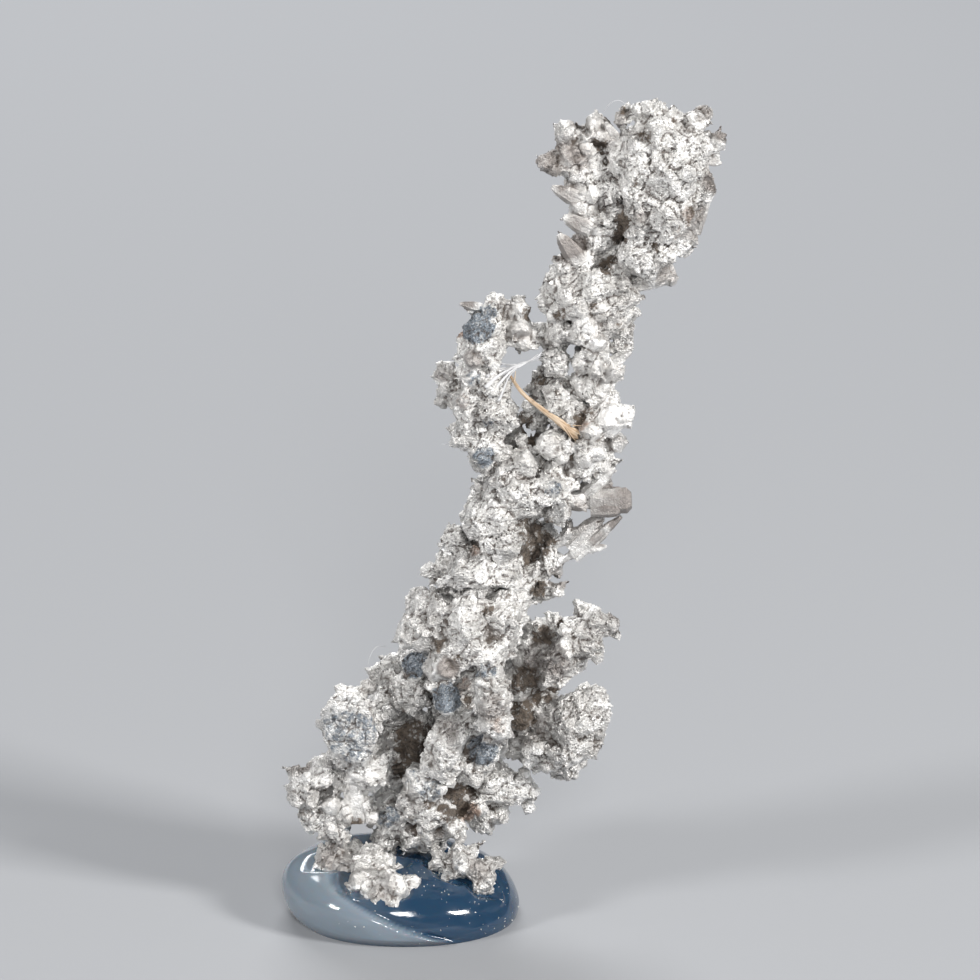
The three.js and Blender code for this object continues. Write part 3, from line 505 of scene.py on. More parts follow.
# most: the triangles before the crisp crystals are added. Lumps: x, height, size, and how smooth they are.
# Blades: root, tip, width. Disc: a flat round crystal's x, height, half width and half height.
growth = {
    "crown": dict(most=80000, lumps=[
        (19.0, 55.0, 2.12, 0), (16.9, 56.4, 1.5, 0), (20.6, 56.6, 1.5, 0), (17.0, 53.3, 1.32, 0),
        (19.1, 52.0, 1.5, 0), (14.4, 50.9, 1.32, 0), (16.6, 49.5, 1.15, 0), (18.4, 49.3, 1.06, 0),
        (20.2, 50.7, 0.79, 0.3), (18.1, 47.6, 0.88, 0.3), (21.6, 53.8, 0.67, 0.2), (11.8, 58.0, 0.81, 0.7),
        (12.0, 57.0, 0.74, 0.9), (11.5, 56.1, 0.71, 0.9), (13.3, 56.6, 0.53, 1), (10.2, 55.8, 0.58, 0.4),
        (11.0, 55.2, 0.49, 0.4), (12.7, 54.9, 0.74, 0.3), (14.0, 55.0, 0.6, 0.4), (13.8, 58.7, 0.64, 1),
        (14.1, 57.7, 0.64, 0.6), (15.6, 59.0, 0.42, 0.4), (16.7, 59.5, 0.39, 0.3), (17.4, 59.6, 0.39, 0.3),
        (18.3, 59.6, 0.46, 0.3), (19.1, 59.0, 0.53, 0.8), (20.6, 58.7, 0.81, 0.4), (22.3, 57.3, 0.65, 0.5),
        (16.9, 58.2, 0.6, 0.5), (15.5, 55.8, 0.88, 0.6), (10.5, 49.3, 0.6, 0.6), (19.1, 47.3, 0.53, 0.5),
        (12.8, 52.5, 0.71, 0.3), (19.8, 50.0, 0.71, 0.2), (12.6, 54.2, 0.95, 0.3), (13.2, 51.9, 1.0, 0.2),
        (13.0, 50.1, 1.0, 0.2), (13.9, 53.5, 1.0, 0.1), (11.9, 56.3, 0.8, 0.8), (13.2, 49.0, 0.8, 0.3),
        (14.9, 53.9, 1.0, 0), (15.4, 52.2, 1.0, 0), (14.9, 55.2, 0.7, 0.2),
    ], blades=[
        ((13.0, 52.9), (10.8, 54.0), 1.15), ((13.4, 50.9), (11.6, 51.9), 1.15),
        ((12.7, 48.6), (11.3, 50.6), 1.3), ((15.3, 57.3), (14.5, 58.6), 0.7),
        ((16.8, 47.0), (19.5, 47.6), 0.95), ((20.8, 50.7), (22.0, 54.7), 0.8),
        ((21.8, 55.8), (22.6, 55.7), 0.46), ((20.0, 49.1), (20.7, 49.5), 0.46),
        ((13.2, 57.1), (13.3, 56.1), 0.88),
    ]),
    "left_fork": dict(most=50000, lumps=[
        (6.9, 45.6, 0.74, 0.2), (8.5, 45.1, 0.74, 1), (8.6, 43.8, 0.92, 1), (8.9, 42.7, 0.6, 0.8),
        (5.6, 43.6, 0.92, 0), (6.7, 43.8, 0.74, 0.1), (5.3, 41.6, 0.74, 0.8), (5.1, 40.1, 0.6, 1),
        (3.4, 40.6, 0.81, 0.6), (3.5, 39.3, 0.6, 0.2), (6.7, 39.4, 1.27, 0), (6.9, 37.6, 1.27, 0),
        (4.7, 38.6, 0.67, 0.1), (4.9, 36.8, 0.74, 0), (6.4, 36.0, 0.97, 0), (5.8, 34.5, 0.74, 0),
    ], blades=[
        ((5.9, 45.3), (4.4, 45.6), 0.64), ((7.7, 42.8), (9.9, 42.3), 0.42),
    ]),
    "upper_trunk": dict(most=60000, lumps=[
        (11.1, 41.3, 0.97, 0), (13.2, 44.0, 0.92, 0.8), (13.9, 42.8, 0.71, 1), (14.3, 45.1, 0.71, 0.5),
        (15.5, 44.2, 0.6, 0.7), (15.1, 40.6, 0.78, 0.8), (13.9, 41.0, 0.67, 0.8), (12.9, 41.3, 0.6, 0.7),
        (12.8, 40.0, 0.67, 0.6), (14.3, 39.6, 0.67, 0.7), (11.4, 38.6, 0.97, 0.5), (10.0, 37.4, 0.97, 0.1),
        (10.7, 39.9, 0.71, 0), (12.1, 46.2, 1.06, 0.2), (11.1, 45.0, 0.79, 0.3),
    ], blades=[
        ((14.5, 41.0), (16.4, 42.1), 0.88),
    ]),
    "middle_trunk": dict(most=90000, lumps=[
        (15.1, 37.3, 1.16, 0.9), (14.5, 38.5, 0.42, 0.5), (13.6, 36.4, 0.81, 0.8), (15.4, 35.6, 0.81, 0.6),
        (13.2, 34.5, 0.85, 0.7), (14.2, 34.7, 0.64, 0.6), (10.7, 35.3, 1.06, 0.6), (11.5, 34.4, 0.6, 0.7),
        (9.0, 33.9, 0.81, 0.3), (10.9, 33.3, 0.67, 0.3), (11.1, 32.1, 0.6, 0.1), (12.2, 32.9, 0.64, 0.6),
        (7.4, 32.7, 1.06, 0), (9.2, 31.2, 1.24, 0), (6.0, 29.7, 1.32, 0), (4.2, 28.2, 1.06, 0),
        (7.8, 28.4, 1.24, 0),
    ], blades=[
        ((13.2, 31.6), (15.3, 33.6), 0.85), ((13.6, 31.1), (16.5, 31.2), 1.95),
        ((12.2, 27.6), (14.5, 30.1), 1.45), ((12.4, 27.0), (15.8, 30.0), 0.9),
        ((13.8, 27.6), (14.8, 27.8), 0.46),
    ]),
    "right_arm_upper": dict(most=24000, blades=[], lumps=[
        (14.1, 22.3, 0.8, 0.2), (15.3, 22.1, 0.5, 0.3), (12.9, 21.3, 1.0, 0.1), (11.5, 19.2, 1.18, 0.2),
        (10.8, 18.1, 1.08, 0.1), (12.2, 16.8, 0.47, 0.4), (10.5, 20.9, 0.85, 0.2), (9.8, 21.6, 0.61, 0.2),
    ]),
    "right_arm_lower": dict(most=30000, blades=[], lumps=[
        (14.0, 16.3, 0.9, 0.2), (13.3, 14.7, 1.32, 0.1), (11.8, 14.2, 1.32, 0.1), (10.3, 14.4, 0.89, 0.2),
        (11.8, 11.9, 1.32, 0.1), (12.3, 10.8, 0.66, 0.1), (9.7, 12.7, 0.99, 0.2), (9.6, 8.6, 0.5, 0.7),
    ]),
    "lower_trunk": dict(most=98000, blades=[], lumps=[
        (6.5, 9.6, 1.51, 0.1), (8.0, 9.4, 1.22, 0.1), (6.0, 7.3, 1.08, 0.1), (4.4, 5.7, 0.49, 0.9),
        (3.2, 18.7, 0.99, 0.9), (1.1, 19.0, 0.87, 0), (3.4, 16.3, 1.01, 0), (4.5, 17.5, 0.56, 0.4),
        (6.5, 17.7, 1.08, 0.1), (6.6, 16.0, 1.08, 0.1), (6.8, 14.4, 1.08, 0.1), (6.0, 12.3, 0.96, 0),
        (3.9, 14.2, 1.08, 0.1), (3.4, 11.9, 1.08, 0.1), (1.3, 17.0, 1.08, 0.1), (1.7, 14.8, 0.42, 0.3),
        (1.5, 10.0, 1.27, 0.4), (-0.5, 7.1, 1.18, 0.2), (1.0, 7.7, 0.89, 0), (-1.9, 7.2, 0.56, 0.8),
        (1.0, 5.3, 0.42, 0.8), (-1.1, 5.5, 1.04, 0.2), (2.7, 7.4, 0.85, 0), (-1.1, 18.5, 0.8, 0.2),
        (4.8, 21.8, 1.65, 0.1), (7.2, 22.8, 1.41, 0.2), (2.0, 23.0, 1.2, 0.2), (0.9, 21.0, 1.1, 0.3),
    ]),
    "left_lobe": dict(most=30000, disc=(-3.3, 14.4, 2.05, 2.75), lumps=[
        (-2.1, 10.6, 1.32, 0.5), (-2.6, 12.2, 1.1, 0.4),
    ], blades=[
        ((-3.1, 6.9), (-3.3, 10.4), 1.32),
    ]),
    "left_hand": dict(most=24000, blades=[], lumps=[
        (-7.4, 10.5, 0.71, 0.2), (-5.7, 10.4, 1.0, 0.2), (-7.1, 9.1, 0.89, 0.2), (-4.8, 8.1, 0.8, 1),
        (-6.2, 7.3, 0.89, 0.2), (-6.6, 10.0, 0.71, 0.1), (-4.5, 10.1, 0.71, 0.3),
    ]),
    "rear_branch": dict(most=20000, lumps=[], blades=[]),
    "front_foot": dict(most=24000, blades=[], stand=0.7, lumps=[
        (-5.3, 4.2, 0.75, 0.3), (-4.4, 4.5, 0.8, 0.5), (-3.3, 4.6, 0.8, 0.4), (-2.2, 4.4, 0.8, 0.5),
        (-1.3, 4.1, 0.7, 0.3), (-4.8, 3.5, 0.8, 0.4), (-3.7, 3.5, 0.95, 0.6), (-2.5, 3.3, 1.0, 0.6),
        (-1.3, 3.0, 1.0, 0.5), (-0.2, 2.8, 0.8, 0.4), (-2.6, 2.3, 1.0, 0.7), (-1.4, 2.0, 1.1, 0.7),
        (-0.2, 1.8, 1.0, 0.6), (0.8, 2.0, 0.75, 0.6), (-1.6, 1.2, 0.8, 0.5), (-0.8, 0.9, 0.75, 0.5),
        (0.3, 1.3, 0.65, 0.6), (-0.4, 0.6, 0.6, 0.5),
    ]),
    "right_foot": dict(most=15000, blades=[], stand=0.4, lumps=[
        (3.5, 3.5, 0.7, 0.5), (4.5, 3.8, 0.66, 0.5), (5.5, 3.1, 0.75, 0.5), (6.4, 2.6, 0.6, 0.5),
        (2.6, 3.7, 0.52, 0.4),
    ]),
}
# tarnish, brown grime and painted shade on the silver: x, height, radius, strength
tarnishAndShade = dict(
    blue=[
        (1.2, 18.9, 1.35, 1.0), (3.5, 16.4, 1.5, 1.0), (6.0, 12.4, 1.5, 1.0), (5.6, 43.9, 1.7, 0.75),
        (6.1, 34.4, 1.1, 0.7), (6.5, 37.0, 0.7, 0.4), (10.9, 32.1, 0.9, 0.5), (6.3, 18.2, 1.1, 0.55),
        (-4.4, 14.5, 1.5, 0.5), (-3.4, 13.6, 2.8, 0.5), (-3.9, 6.2, 1.1, 0.85), (-0.8, 7.3, 1.2, 0.6),
        (2.3, 9.3, 1.3, 0.5), (5.3, 40.1, 0.9, 0.45), (6.4, 45.0, 1.0, 0.6), (1.0, 10.2, 1.2, 0.35),
        (-2.6, 12.4, 1.2, 0.35),
    ],
    rust=[
        (4.7, 44.0, 0.7, 1.0), (4.4, 43.5, 0.6, 1.0), (5.4, 27.6, 0.8, 0.8), (4.6, 38.5, 0.8, 0.55),
        (5.0, 7.7, 1.2, 1.0), (13.0, 36.7, 0.8, 0.8), (7.1, 14.3, 0.9, 0.6), (4.7, 17.4, 0.8, 0.7),
        (20.3, 52.1, 0.8, 0.6), (19.4, 50.8, 0.8, 0.6),
    ],
    dirtAndShade=[  # recesses with brown grime and painted shade in them
        (1.2, 13.0, 2.4, 1.0), (0.2, 11.4, 1.8, 1.0), (9.4, 28.2, 2.6, 1.0), (9.0, 17.8, 1.7, 1.0),
        (10.3, 21.1, 1.3, 1.0), (8.7, 15.0, 1.8, 1.0), (11.0, 16.7, 0.9, 1.0), (11.5, 22.0, 0.7, 0.8),
        (5.0, 16.2, 0.6, 1.0), (3.2, 7.9, 0.7, 0.9), (10.3, 16.4, 1.0, 0.9), (9.5, 24.2, 0.8, 0.7),
        (7.3, 24.7, 0.7, 0.9), (4.0, 9.2, 1.4, 1.0), (4.2, 7.9, 1.3, 1.0), (0.9, 7.3, 0.5, 0.8),
        (-3.6, 6.5, 0.8, 0.8), (4.3, 19.3, 0.6, 0.8), (10.6, 29.6, 0.7, 0.7), (9.2, 35.7, 1.2, 1.0),
        (7.9, 34.7, 0.9, 1.0), (12.2, 34.5, 0.7, 0.8), (13.4, 37.5, 0.9, 0.8), (12.5, 37.1, 0.6, 1.0),
        (12.0, 44.9, 0.6, 0.5), (13.9, 45.3, 0.5, 0.6), (15.5, 44.2, 0.5, 0.6), (9.9, 39.9, 1.1, 0.7),
        (9.0, 37.1, 1.1, 0.8), (12.9, 30.1, 0.6, 0.7), (11.5, 39.9, 0.9, 0.6), (9.3, 44.8, 1.1, 0.9),
        (17.1, 55.1, 0.9, 0.35), (15.7, 51.6, 0.9, 1.0), (15.6, 50.5, 1.1, 1.0), (17.2, 57.6, 0.8, 0.75),
        (-3.0, 7.0, 0.8, 1.0), (6.4, 23.0, 0.8, 0.8), (16.3, 54.2, 0.7, 0.55), (11.3, 44.8, 0.8, 0.8),
        (9.9, 24.5, 1.1, 1.0), (7.6, 24.2, 0.8, 0.8), (14.6, 48.1, 0.9, 0.9), (2.9, 20.3, 0.8, 0.9),
        (2.1, 8.3, 0.6, 0.7), (14.1, 57.1, 0.9, 0.9), (14.7, 55.8, 0.6, 0.9), (19.1, 51.0, 0.6, 0.8),
        (20.5, 52.3, 0.6, 0.8), (19.9, 51.4, 0.7, 0.7), (18.0, 49.7, 0.6, 0.7), (15.2, 48.8, 0.8, 0.8),
        (13.4, 49.2, 0.8, 1.0), (3.6, 7.4, 1.0, 1.0), (19.2, 58.8, 0.5, 0.8), (15.7, 59.5, 0.5, 0.8),
        (5.6, 21.9, 0.8, 0.5), (2.0, 17.3, 0.8, 0.6),
    ],
    dullAndShade=[  # duller, browner silver, partly its own tone and partly painted shade where less light falls
        (15.5, 31.2, 2.0, 1.0), (15.4, 29.6, 0.9, 0.9), (14.2, 28.3, 0.9, 0.7), (13.2, 30.0, 2.2, 0.5),
        (12.0, 56.2, 2.0, 0.65), (10.6, 55.6, 1.6, 0.75), (4.9, 45.7, 0.9, 0.9), (20.9, 51.4, 2.0, 0.6),
        (21.9, 54.4, 1.3, 0.7), (18.8, 47.6, 1.2, 0.5), (11.6, 25.5, 1.6, 0.6), (10.4, 19.2, 2.4, 0.6),
        (9.0, 14.0, 2.0, 0.5), (3.3, 40.6, 1.1, 0.6), (5.3, 41.6, 1.0, 0.8), (8.6, 43.6, 1.1, 0.45),
        (22.6, 57.9, 1.3, 0.85), (21.2, 59.3, 1.0, 0.6), (12.5, 58.7, 0.9, 0.7), (15.4, 58.9, 0.9, 0.7),
        (14.6, 57.6, 1.3, 0.5), (15.5, 22.3, 1.0, 0.7), (12.1, 49.6, 1.6, 1.0), (12.6, 51.3, 1.2, 0.65),
        (11.8, 53.5, 1.4, 0.6), (-4.5, 4.0, 1.8, 0.55), (-1.0, 1.8, 1.6, 0.45), (5.5, 3.1, 1.4, 0.5),
        (10.8, 35.2, 1.0, 0.4), (3.4, 14.0, 1.6, 0.5), (6.6, 15.6, 1.5, 0.5), (6.2, 12.8, 1.2, 0.45),
        (3.5, 18.6, 1.1, 1.0), (-7.1, 10.9, 1.2, 0.65), (15.2, 35.4, 1.1, 0.4), (17.0, 51.9, 0.7, 0.7),
    ],
)
tarnishAndShadeInner = dict(blue=0.55, rust=0.55, dirtAndShade=0.4, dullAndShade=0.5)  # share of a radius before it fades
forms = (octahedron, cutCube, cube)


def strewn(at, out, least, most, sink, wander, lattice, random):
    # crystals of all forms at these places, sunk into the surface by a share of their size
    parts = []
    for k, form in enumerate(forms):
        own = slice(k, None, len(forms))
        count = len(at[own])
        sizes = least + (most - least) * random.random(count) ** 2
        turns = turned(random, count, wander, lattice)
        stretch = random.uniform(0.7, 1.3, (count, 3))
        sunk = at[own] - out[own] * sizes[:, None] * sink
        parts.append(crystalsAt(form, sunk, sizes, turns, stretch, random))
    return joined(parts)


def largestIsland(points, triangles):
    # labels spread along the edges until each island has one
    label = np.arange(len(points))
    while True:
        least = label[triangles].min(1)
        wider = label.copy()
        for k in range(3):
            np.minimum.at(wider, triangles[:, k], least)
        wider = wider[wider]
        if np.array_equal(wider, label):
            break
        label = wider
    counts = np.bincount(label[triangles[:, 0]])
    stay = label[triangles[:, 0]] == counts.argmax()
    used, renamed = np.unique(triangles[stay], return_inverse=True)
    return points[used], renamed.reshape(-1, 3)


def dipOf(points, triangles, rounds):
    # how far each point lies below a smoothed copy of its surface, in millimetres
    edges = np.vstack([triangles[:, (0, 1)], triangles[:, (1, 2)], triangles[:, (2, 0)]])
    counts = np.maximum(np.bincount(edges[:, 0], minlength=len(points)), 1)[:, None]
    soft = points.copy()
    for _ in range(rounds):
        total = np.stack([np.bincount(edges[:, 0], soft[edges[:, 1], k], len(points)) for k in range(3)], 1)
        soft = 0.4 * soft + 0.6 * total / counts
    return np.einsum("ij,ij->i", soft - points, normalsOf(points, triangles))


def lumpAt(middle, size, smooth, lattice, random):
    # one big crystal with smaller ones grown on it: few on a smooth one, many on a mossy one
    mates = 3 if smooth > 0.5 else 5
    way = random.normal(size=(mates, 3))
    way /= np.linalg.norm(way, axis=1, keepdims=True)
    middles = np.vstack([middle, middle + way * size * 0.5])
    sizes = size * np.append(1.05, random.uniform(0.45, 0.75, mates))
    turns = turned(random, mates + 1, 0.3, lattice)
    stretch = random.uniform(0.85, 1.12, (mates + 1, 3))
    return crystalsAt(cutCube, middles, sizes, turns, stretch, random)


bladeSection = [(1, 0), (0.45, 1), (-0.45, 1), (-1, 0), (-0.45, -1), (0.45, -1)]
bladeShares = [(0, 0.9), (0.42, 1), (0.8, 0.74), (1, 0.3)]  # width along the blade, from root to tip
stubShares = [(0, 0.85), (0.6, 1), (0.88, 0.95), (1, 0.6)]


def bladeAt(root, tip, width, shares, random):
    # a flat blade, with two shorter ones grown along it
    parts = []
    along = tip - root
    length = np.linalg.norm(along)
    along = along / length
    across = np.cross((0, 1, 0), along)
    across /= np.linalg.norm(across)
    through = np.cross(along, across)
    for reach, wide, aside, forward in ((1, 1, 0, 0), (0.72, 0.6, 0.28, -0.16), (0.8, 0.55, -0.24, 0.14)):
        middle = root + across * aside * width + through * forward * width
        corners = []
        for share, part in shares:
            half = width / 2 * wide * part * random.uniform(0.92, 1.08)
            at = middle + along * length * share * reach
            corners += [at + across * a * half + through * b * half * 0.6 for a, b in bladeSection]
        parts.append(hullOf(corners))
    return joined(parts)


def reliefOf(points, size, seed, width):
    # 1 on the borders between cells of this size, fading to 0 over a width in cells
    return 1 - eased(grown(points, size, seed)[3], 0.0, width)


def ballOf(corners, turn=2.39996):
    # a round form with its corners spread evenly, each a golden turn on from the last
    spots = []
    for k in range(corners):
        z = 1 - 2 * (k + 0.5) / corners
        wide = math.sqrt(1 - z * z)
        spots.append((wide * math.cos(k * turn), wide * math.sin(k * turn), z))
    return hullOf(spots)


ball = ballOf(60)


def growSilver(node, index):
    seeds = {use: seed + index for use, seed in silver["seeds"].items()}
    random = np.random.default_rng(seeds["growth"])
    lattice = turned(random, 1)[0]
    points, triangles = nodeArrays[node]
    parts = [(points - normalsOf(points, triangles) * silver["shrink"], triangles)]
    # lumps, blades and what they make smooth: middle, radius, smoothness
    own = growth[node]
    stand = own.get("stand", silver["stand"])
    calm = []
    inward = Vector(place(0, 30, 1.0) - place(0, 30, 0.0)).normalized()
    for x, height, size, smooth in own["lumps"]:
        middle = onFront(x, height) + np.array(inward) * max(size - stand, size * silver["leastSunk"])
        parts.append(lumpAt(middle, size, smooth, lattice, random))
        calm.append((middle, size * silver["calmReach"], smooth))
    blades = []
    heartLong, heartWide, reach, smoothness = silver["heart"]
    for (x, height), (tipX, tipHeight), width in own["blades"]:
        root = onFront(x, height, silver["bladeSunk"])
        tip = place(tipX, tipHeight, root[1] - silver["bladeLean"])
        shares = stubShares if width > silver["stubFrom"] else bladeShares
        blades.append(bladeAt(root, tip, width, shares, random))
        parts.append(bladeAt(root, root + (tip - root) * heartLong, width * heartWide, bladeShares, random))
        calm += [(root + (tip - root) * k / 6, width * reach, smoothness) for k in range(7)]

    if "disc" in own:
        x, height, wide, tall = own["disc"]
        middle = onFront(x, height, 0.6)
        slabs = turned(random, 5, 0.2)
        middles = middle + random.uniform(-1, 1, (5, 3)) * (0.3, 0.1, 0.5)
        shapes = np.array((wide, 0.6, tall)) * random.uniform(0.8, 1.0, (5, 1))
        parts.append(crystalsAt(ball, middles, np.ones(5), slabs, shapes, random))
        calm += [(middle + (0, 0, k * tall * 0.55), wide, 0.45) for k in (-1, 0, 1)]

    def calmness(at):
        best = np.full(len(at), silver["smoothness"])
        for middle, radius, smooth in calm:
            distance = np.linalg.norm(at - middle, axis=1) / radius
            near = 1 - eased(distance, 0.85, 1.15)
            best = best * (1 - near) + smooth * near
        return best

    def sown(kind, wanted):
        perMm2, least, most, sink, wander = silver[kind]
        at, out = scattered(points, triangles, perMm2, random)
        stay = wanted(at)
        return strewn(at[stay], out[stay], least, most, sink, wander, lattice, random)

    parts.append(sown("buds", lambda at: calmness(at) < silver["budsBelow"]))
    tree = treeOf([name for name in silverNodes if name != node])

    def nearOthers(at):
        return np.array([tree.find_nearest(Vector(p), silver["bridgeReach"])[0] is not None for p in at])

    parts.append(sown("bridges", nearOthers))
    voxel = silver["voxel"]
    skin = reshaped(*joined(parts), "REMESH", mode="VOXEL", voxel_size=voxel, adaptivity=0)
    points, triangles = largestIsland(*skin)

    # dips, flat faces, cracks, creases, pits and granules
    smooth = calmness(points)
    moss = 1 - smooth
    cleft = np.clip(dipOf(points, triangles, silver["clefts"]), 0, silver["deepest"]) * silver["filled"]
    points = points + normalsOf(points, triangles) * (cleft * (0.4 + 0.6 * moss))[:, None]
    size, height = silver["plates"]
    way, cell, *_ = grown(points, size, seeds["plates"])
    tilt = spread(cell, 3) * 2 - 1
    tilt /= np.linalg.norm(tilt, axis=1, keepdims=True)
    lift = np.einsum("ij,ij->i", way, tilt) * height * (1 - 0.8 * smooth)
    size, depth, width = silver["cracks"]
    lift -= reliefOf(points, size, seeds["cracks"], width) * depth * (1 - 0.5 * smooth)
    points = points + normalsOf(points, triangles) * lift[:, None]
    size, depth, width = silver["creases"]
    lift = -reliefOf(points, size, seeds["creases"], width) * depth * moss
    size, depth, width = silver["pits"]
    pits = 1 - eased(grown(points, size, seeds["pits"])[2], width * 0.6, width * 1.3)
    lift -= pits * depth * (0.3 + 0.7 * moss)
    size, height = silver["granules"]
    lift += (0.5 - grown(points, size, seeds["granules"])[2]) * height * 1.6 * (0.12 + 0.88 * moss)
    points = points + normalsOf(points, triangles) * lift[:, None]
    if len(triangles) > own["most"]:  # fewer triangles where the skin is flattest
        points, triangles = reshaped(points, triangles, "DECIMATE", ratio=own["most"] / len(triangles))

    blocks = sown("blocks", lambda at: calmness(at) < silver["blocksBelow"])
    crumbs = sown("crumbs", lambda at: random.random(len(at)) > calmness(at) * 1.05)
    calmed[node] = calmness
    crisp = joined([blocks, crumbs, *blades])
    return joined([(points, triangles), crisp]), len(crisp[1])


calmed = {}
grownSilver = {}
for index, name in enumerate(silverNodes):
    grownSilver[name] = growSilver(name, index)
print("the silver is grown")


# how shut in a place is, from how much surface stands around it; it sets the painted shade in hollows
shelter = dict(start=(-12, -12, -3), end=(28, 14, 66), cell=0.4, reach=0.9, spread=2, low=1.05, high=2.2)
shelterStart = np.array(shelter["start"])
shelterShape = ((np.array(shelter["end"]) - shelterStart) / shelter["cell"]).astype(int)


def cellOf(points):
    cell = ((points - shelterStart) / shelter["cell"]).astype(int)
    return np.ravel_multi_index(np.clip(cell, 0, shelterShape - 1).T, shelterShape)


def surfaceAround(parts):
    # for each cell, the silver's surface in and about it
    amount = np.zeros(shelterShape.prod())
    for points, triangles in parts:
        areas = np.linalg.norm(crossed(points, triangles), axis=1) / 2
        amount += np.bincount(cellOf(points[triangles].mean(1)), areas, len(amount))
    amount = amount.reshape(shelterShape)
    for axis in range(3):
        for _ in range(shelter["spread"]):
            amount = (np.roll(amount, 1, axis) + amount + np.roll(amount, -1, axis)) / 3
    return amount.ravel() / shelter["cell"] ** 2


closeness = surfaceAround([(points, triangles[:len(triangles) - flat])
                           for (points, triangles), flat in grownSilver.values()])

# painted shade: the crevice, hollow and earth colours, in creases, pits and hollows (earth with brown grime
# too); painted reflection: the facet colour
# the brown colour is partly the silver's own tone, partly painted shade; the dull colour is tone that differs
# at random
silverColours = dict(
    bright=(0.97, 0.96, 0.945), dullAndShade=(0.56, 0.545, 0.53), facetShade=(0.36, 0.35, 0.34),
    brownAndShade=(0.27, 0.243, 0.228), blue=(0.19, 0.225, 0.265), rust=(0.26, 0.145, 0.085),
    creviceShade=(0.082, 0.063, 0.05), hollowShade=(0.05, 0.038, 0.029), earthAndShade=(0.14, 0.108, 0.082),
)


def silverFinish():
    finish = Finish("native silver")
    # duller and brighter silver tone that differs at random
    patches = (finish.noise(1.7, 5, 0.7) * 0.65 + finish.cells(2.0, "Color") * 0.35).within(0.3, 0.6)
    colour = finish.blend(patches, silverColours["dullAndShade"], silverColours["bright"])
    # painted reflection: each small face is painted a little darker or lighter, as if it caught the light
    # differently
    facets = (finish.cells(0.21, "Color") * 0.5 + finish.cells(0.46, "Color") * 0.5).within(0.36, 0.62)
    specks = finish.noise(0.45, 4)
    # browner, duller spots: partly the silver's own tone, partly painted shade where less light falls
    brownerAndShaded = (finish.marked("dullAndShade") + (finish.noise(1.1, 4) - 0.5) * 1.2).within(0.15, 0.8)
    blue = (finish.marked("blue") * 1.5 + (specks - 0.5) * 2.2).within(0.55, 0.95)
    blue = blue * (0.95 - finish.noise(0.12, 2).within(0.5, 0.75) * 0.6)
    rust = (finish.marked("rust") + (specks - 0.5) * 1.4).within(0.4, 1.0) * 0.75
    # painted shade in the creases between small crystals and in the deeper clefts
    creviceShade = 1 - (1 - finish.marked("creviceShade") * 0.85) * (1 - finish.marked("dip") * 0.95)
    layers = dict(facetShade=(1 - facets) * 0.38, brownAndShade=brownerAndShaded * 0.92, blue=blue, rust=rust, creviceShade=creviceShade)
    for name, share in layers.items():
        colour = finish.blend(share, colour, silverColours[name])
    # dark brown fill in hollows, clefts and listed recesses: partly brown grime, partly painted shade
    shut = finish.marked("hollowShade") * (0.55 + finish.noise(0.8, 4) * 0.9)
    ragged = (finish.noise(0.6, 5, 0.7) - 0.5) * 3.4
    cleftDirtAndShade = (finish.marked("dirtAndShade") * 1.2 + finish.marked("dip") * 0.8 + ragged).within(0.55, 1.1)
    dirtAndShade = (shut + cleftDirtAndShade * finish.marked("dirtAndShade").within(0.0, 0.3)).within(0.1, 0.9) * 0.96
    crumbly = finish.noise(0.3, 4).within(0.35, 0.65)
    earthAndShade = finish.blend(crumbly, silverColours["hollowShade"], silverColours["earthAndShade"])
    colour = finish.blend(dirtAndShade, colour, earthAndShade)
    mossy = 1 - finish.marked("smooth")
    pitted = (finish.noise(1.1, 3) + mossy * 0.3).within(0.62, 0.85) * mossy
    pit = (1 - finish.cells(0.3) - finish.noise(0.2, 2) * 0.35).within(0.5, 0.68) * pitted
    # painted shade inside the pits
    colour = finish.blend(pit * 0.6, colour, silverColours["creviceShade"])
    grains = finish.cells(0.15) * (0.15 + mossy * 0.75) + finish.noise(0.12, 4) * (0.6 + mossy * 0.3)
    bump = finish.bump(grains - pit * 1.5, 0.12, 0.95)
    glint = finish.noise(0.16, 2).within(0.45, 0.6) * facets
    return finish.wear(
        Base_Color=colour,
        Metallic=(0.62 + glint * 0.33) * (1 - dirtAndShade * 0.8) * (1 - creviceShade * 0.6),
        Roughness=0.42 - glint * 0.14 + finish.noise(0.35, 3) * 0.16 + dirtAndShade * 0.3,
        Normal=bump,
    )


silverMaterial = silverFinish()
for name, (parts, flat) in grownSilver.items():
    points, triangles = parts
    skin = normalsOf(points, triangles)
    # painted shade: the more shut in a point is, the darker it is painted
    shut = eased(closeness[cellOf(points + skin * shelter["reach"])], shelter["low"], shelter["high"])
    base = len(triangles) - flat
    marks = dict(
        hollowShade=shut,
        # painted shade in creases, and below it in the deeper clefts
        creviceShade=eased(dipOf(points, triangles[:base], silver["edges"]), 0.0, silver["creviceDepth"]),
        dip=eased(dipOf(points, triangles[:base], silver["clefts"]), 0.0, silver["dipDepth"]),
        smooth=calmed[name](points),
        **{mark: nearness(points, spots, tarnishAndShadeInner[mark]) for mark, spots in tarnishAndShade.items()},
    )
    dress(f"silver_{name}", parts, silverMaterial, (name,), marks, flat)


# the mounting gum

gum = dict(
    halfWidth=8.4, halfDepth=7.5, centreX=0.5, centreY=0.2, lean=-0.35, squareness=2.15,
    height=4.65, belly=1.1, roundness=2.75, footShare=0.95,
    foldTop=(3.9, -128), foldFoot=(0.5, -68),  # height, degrees about Z
    foldSwell=0.42, foldReach=75, groove=0.16,
    lip=0.1, press=0.4,  # how far it stands up around the silver, and is pushed down beside it
    unevenness=((3.4, 0.09), (1.1, 0.022)),  # size and height of slow and quick waves
    around=240, up=90,
)


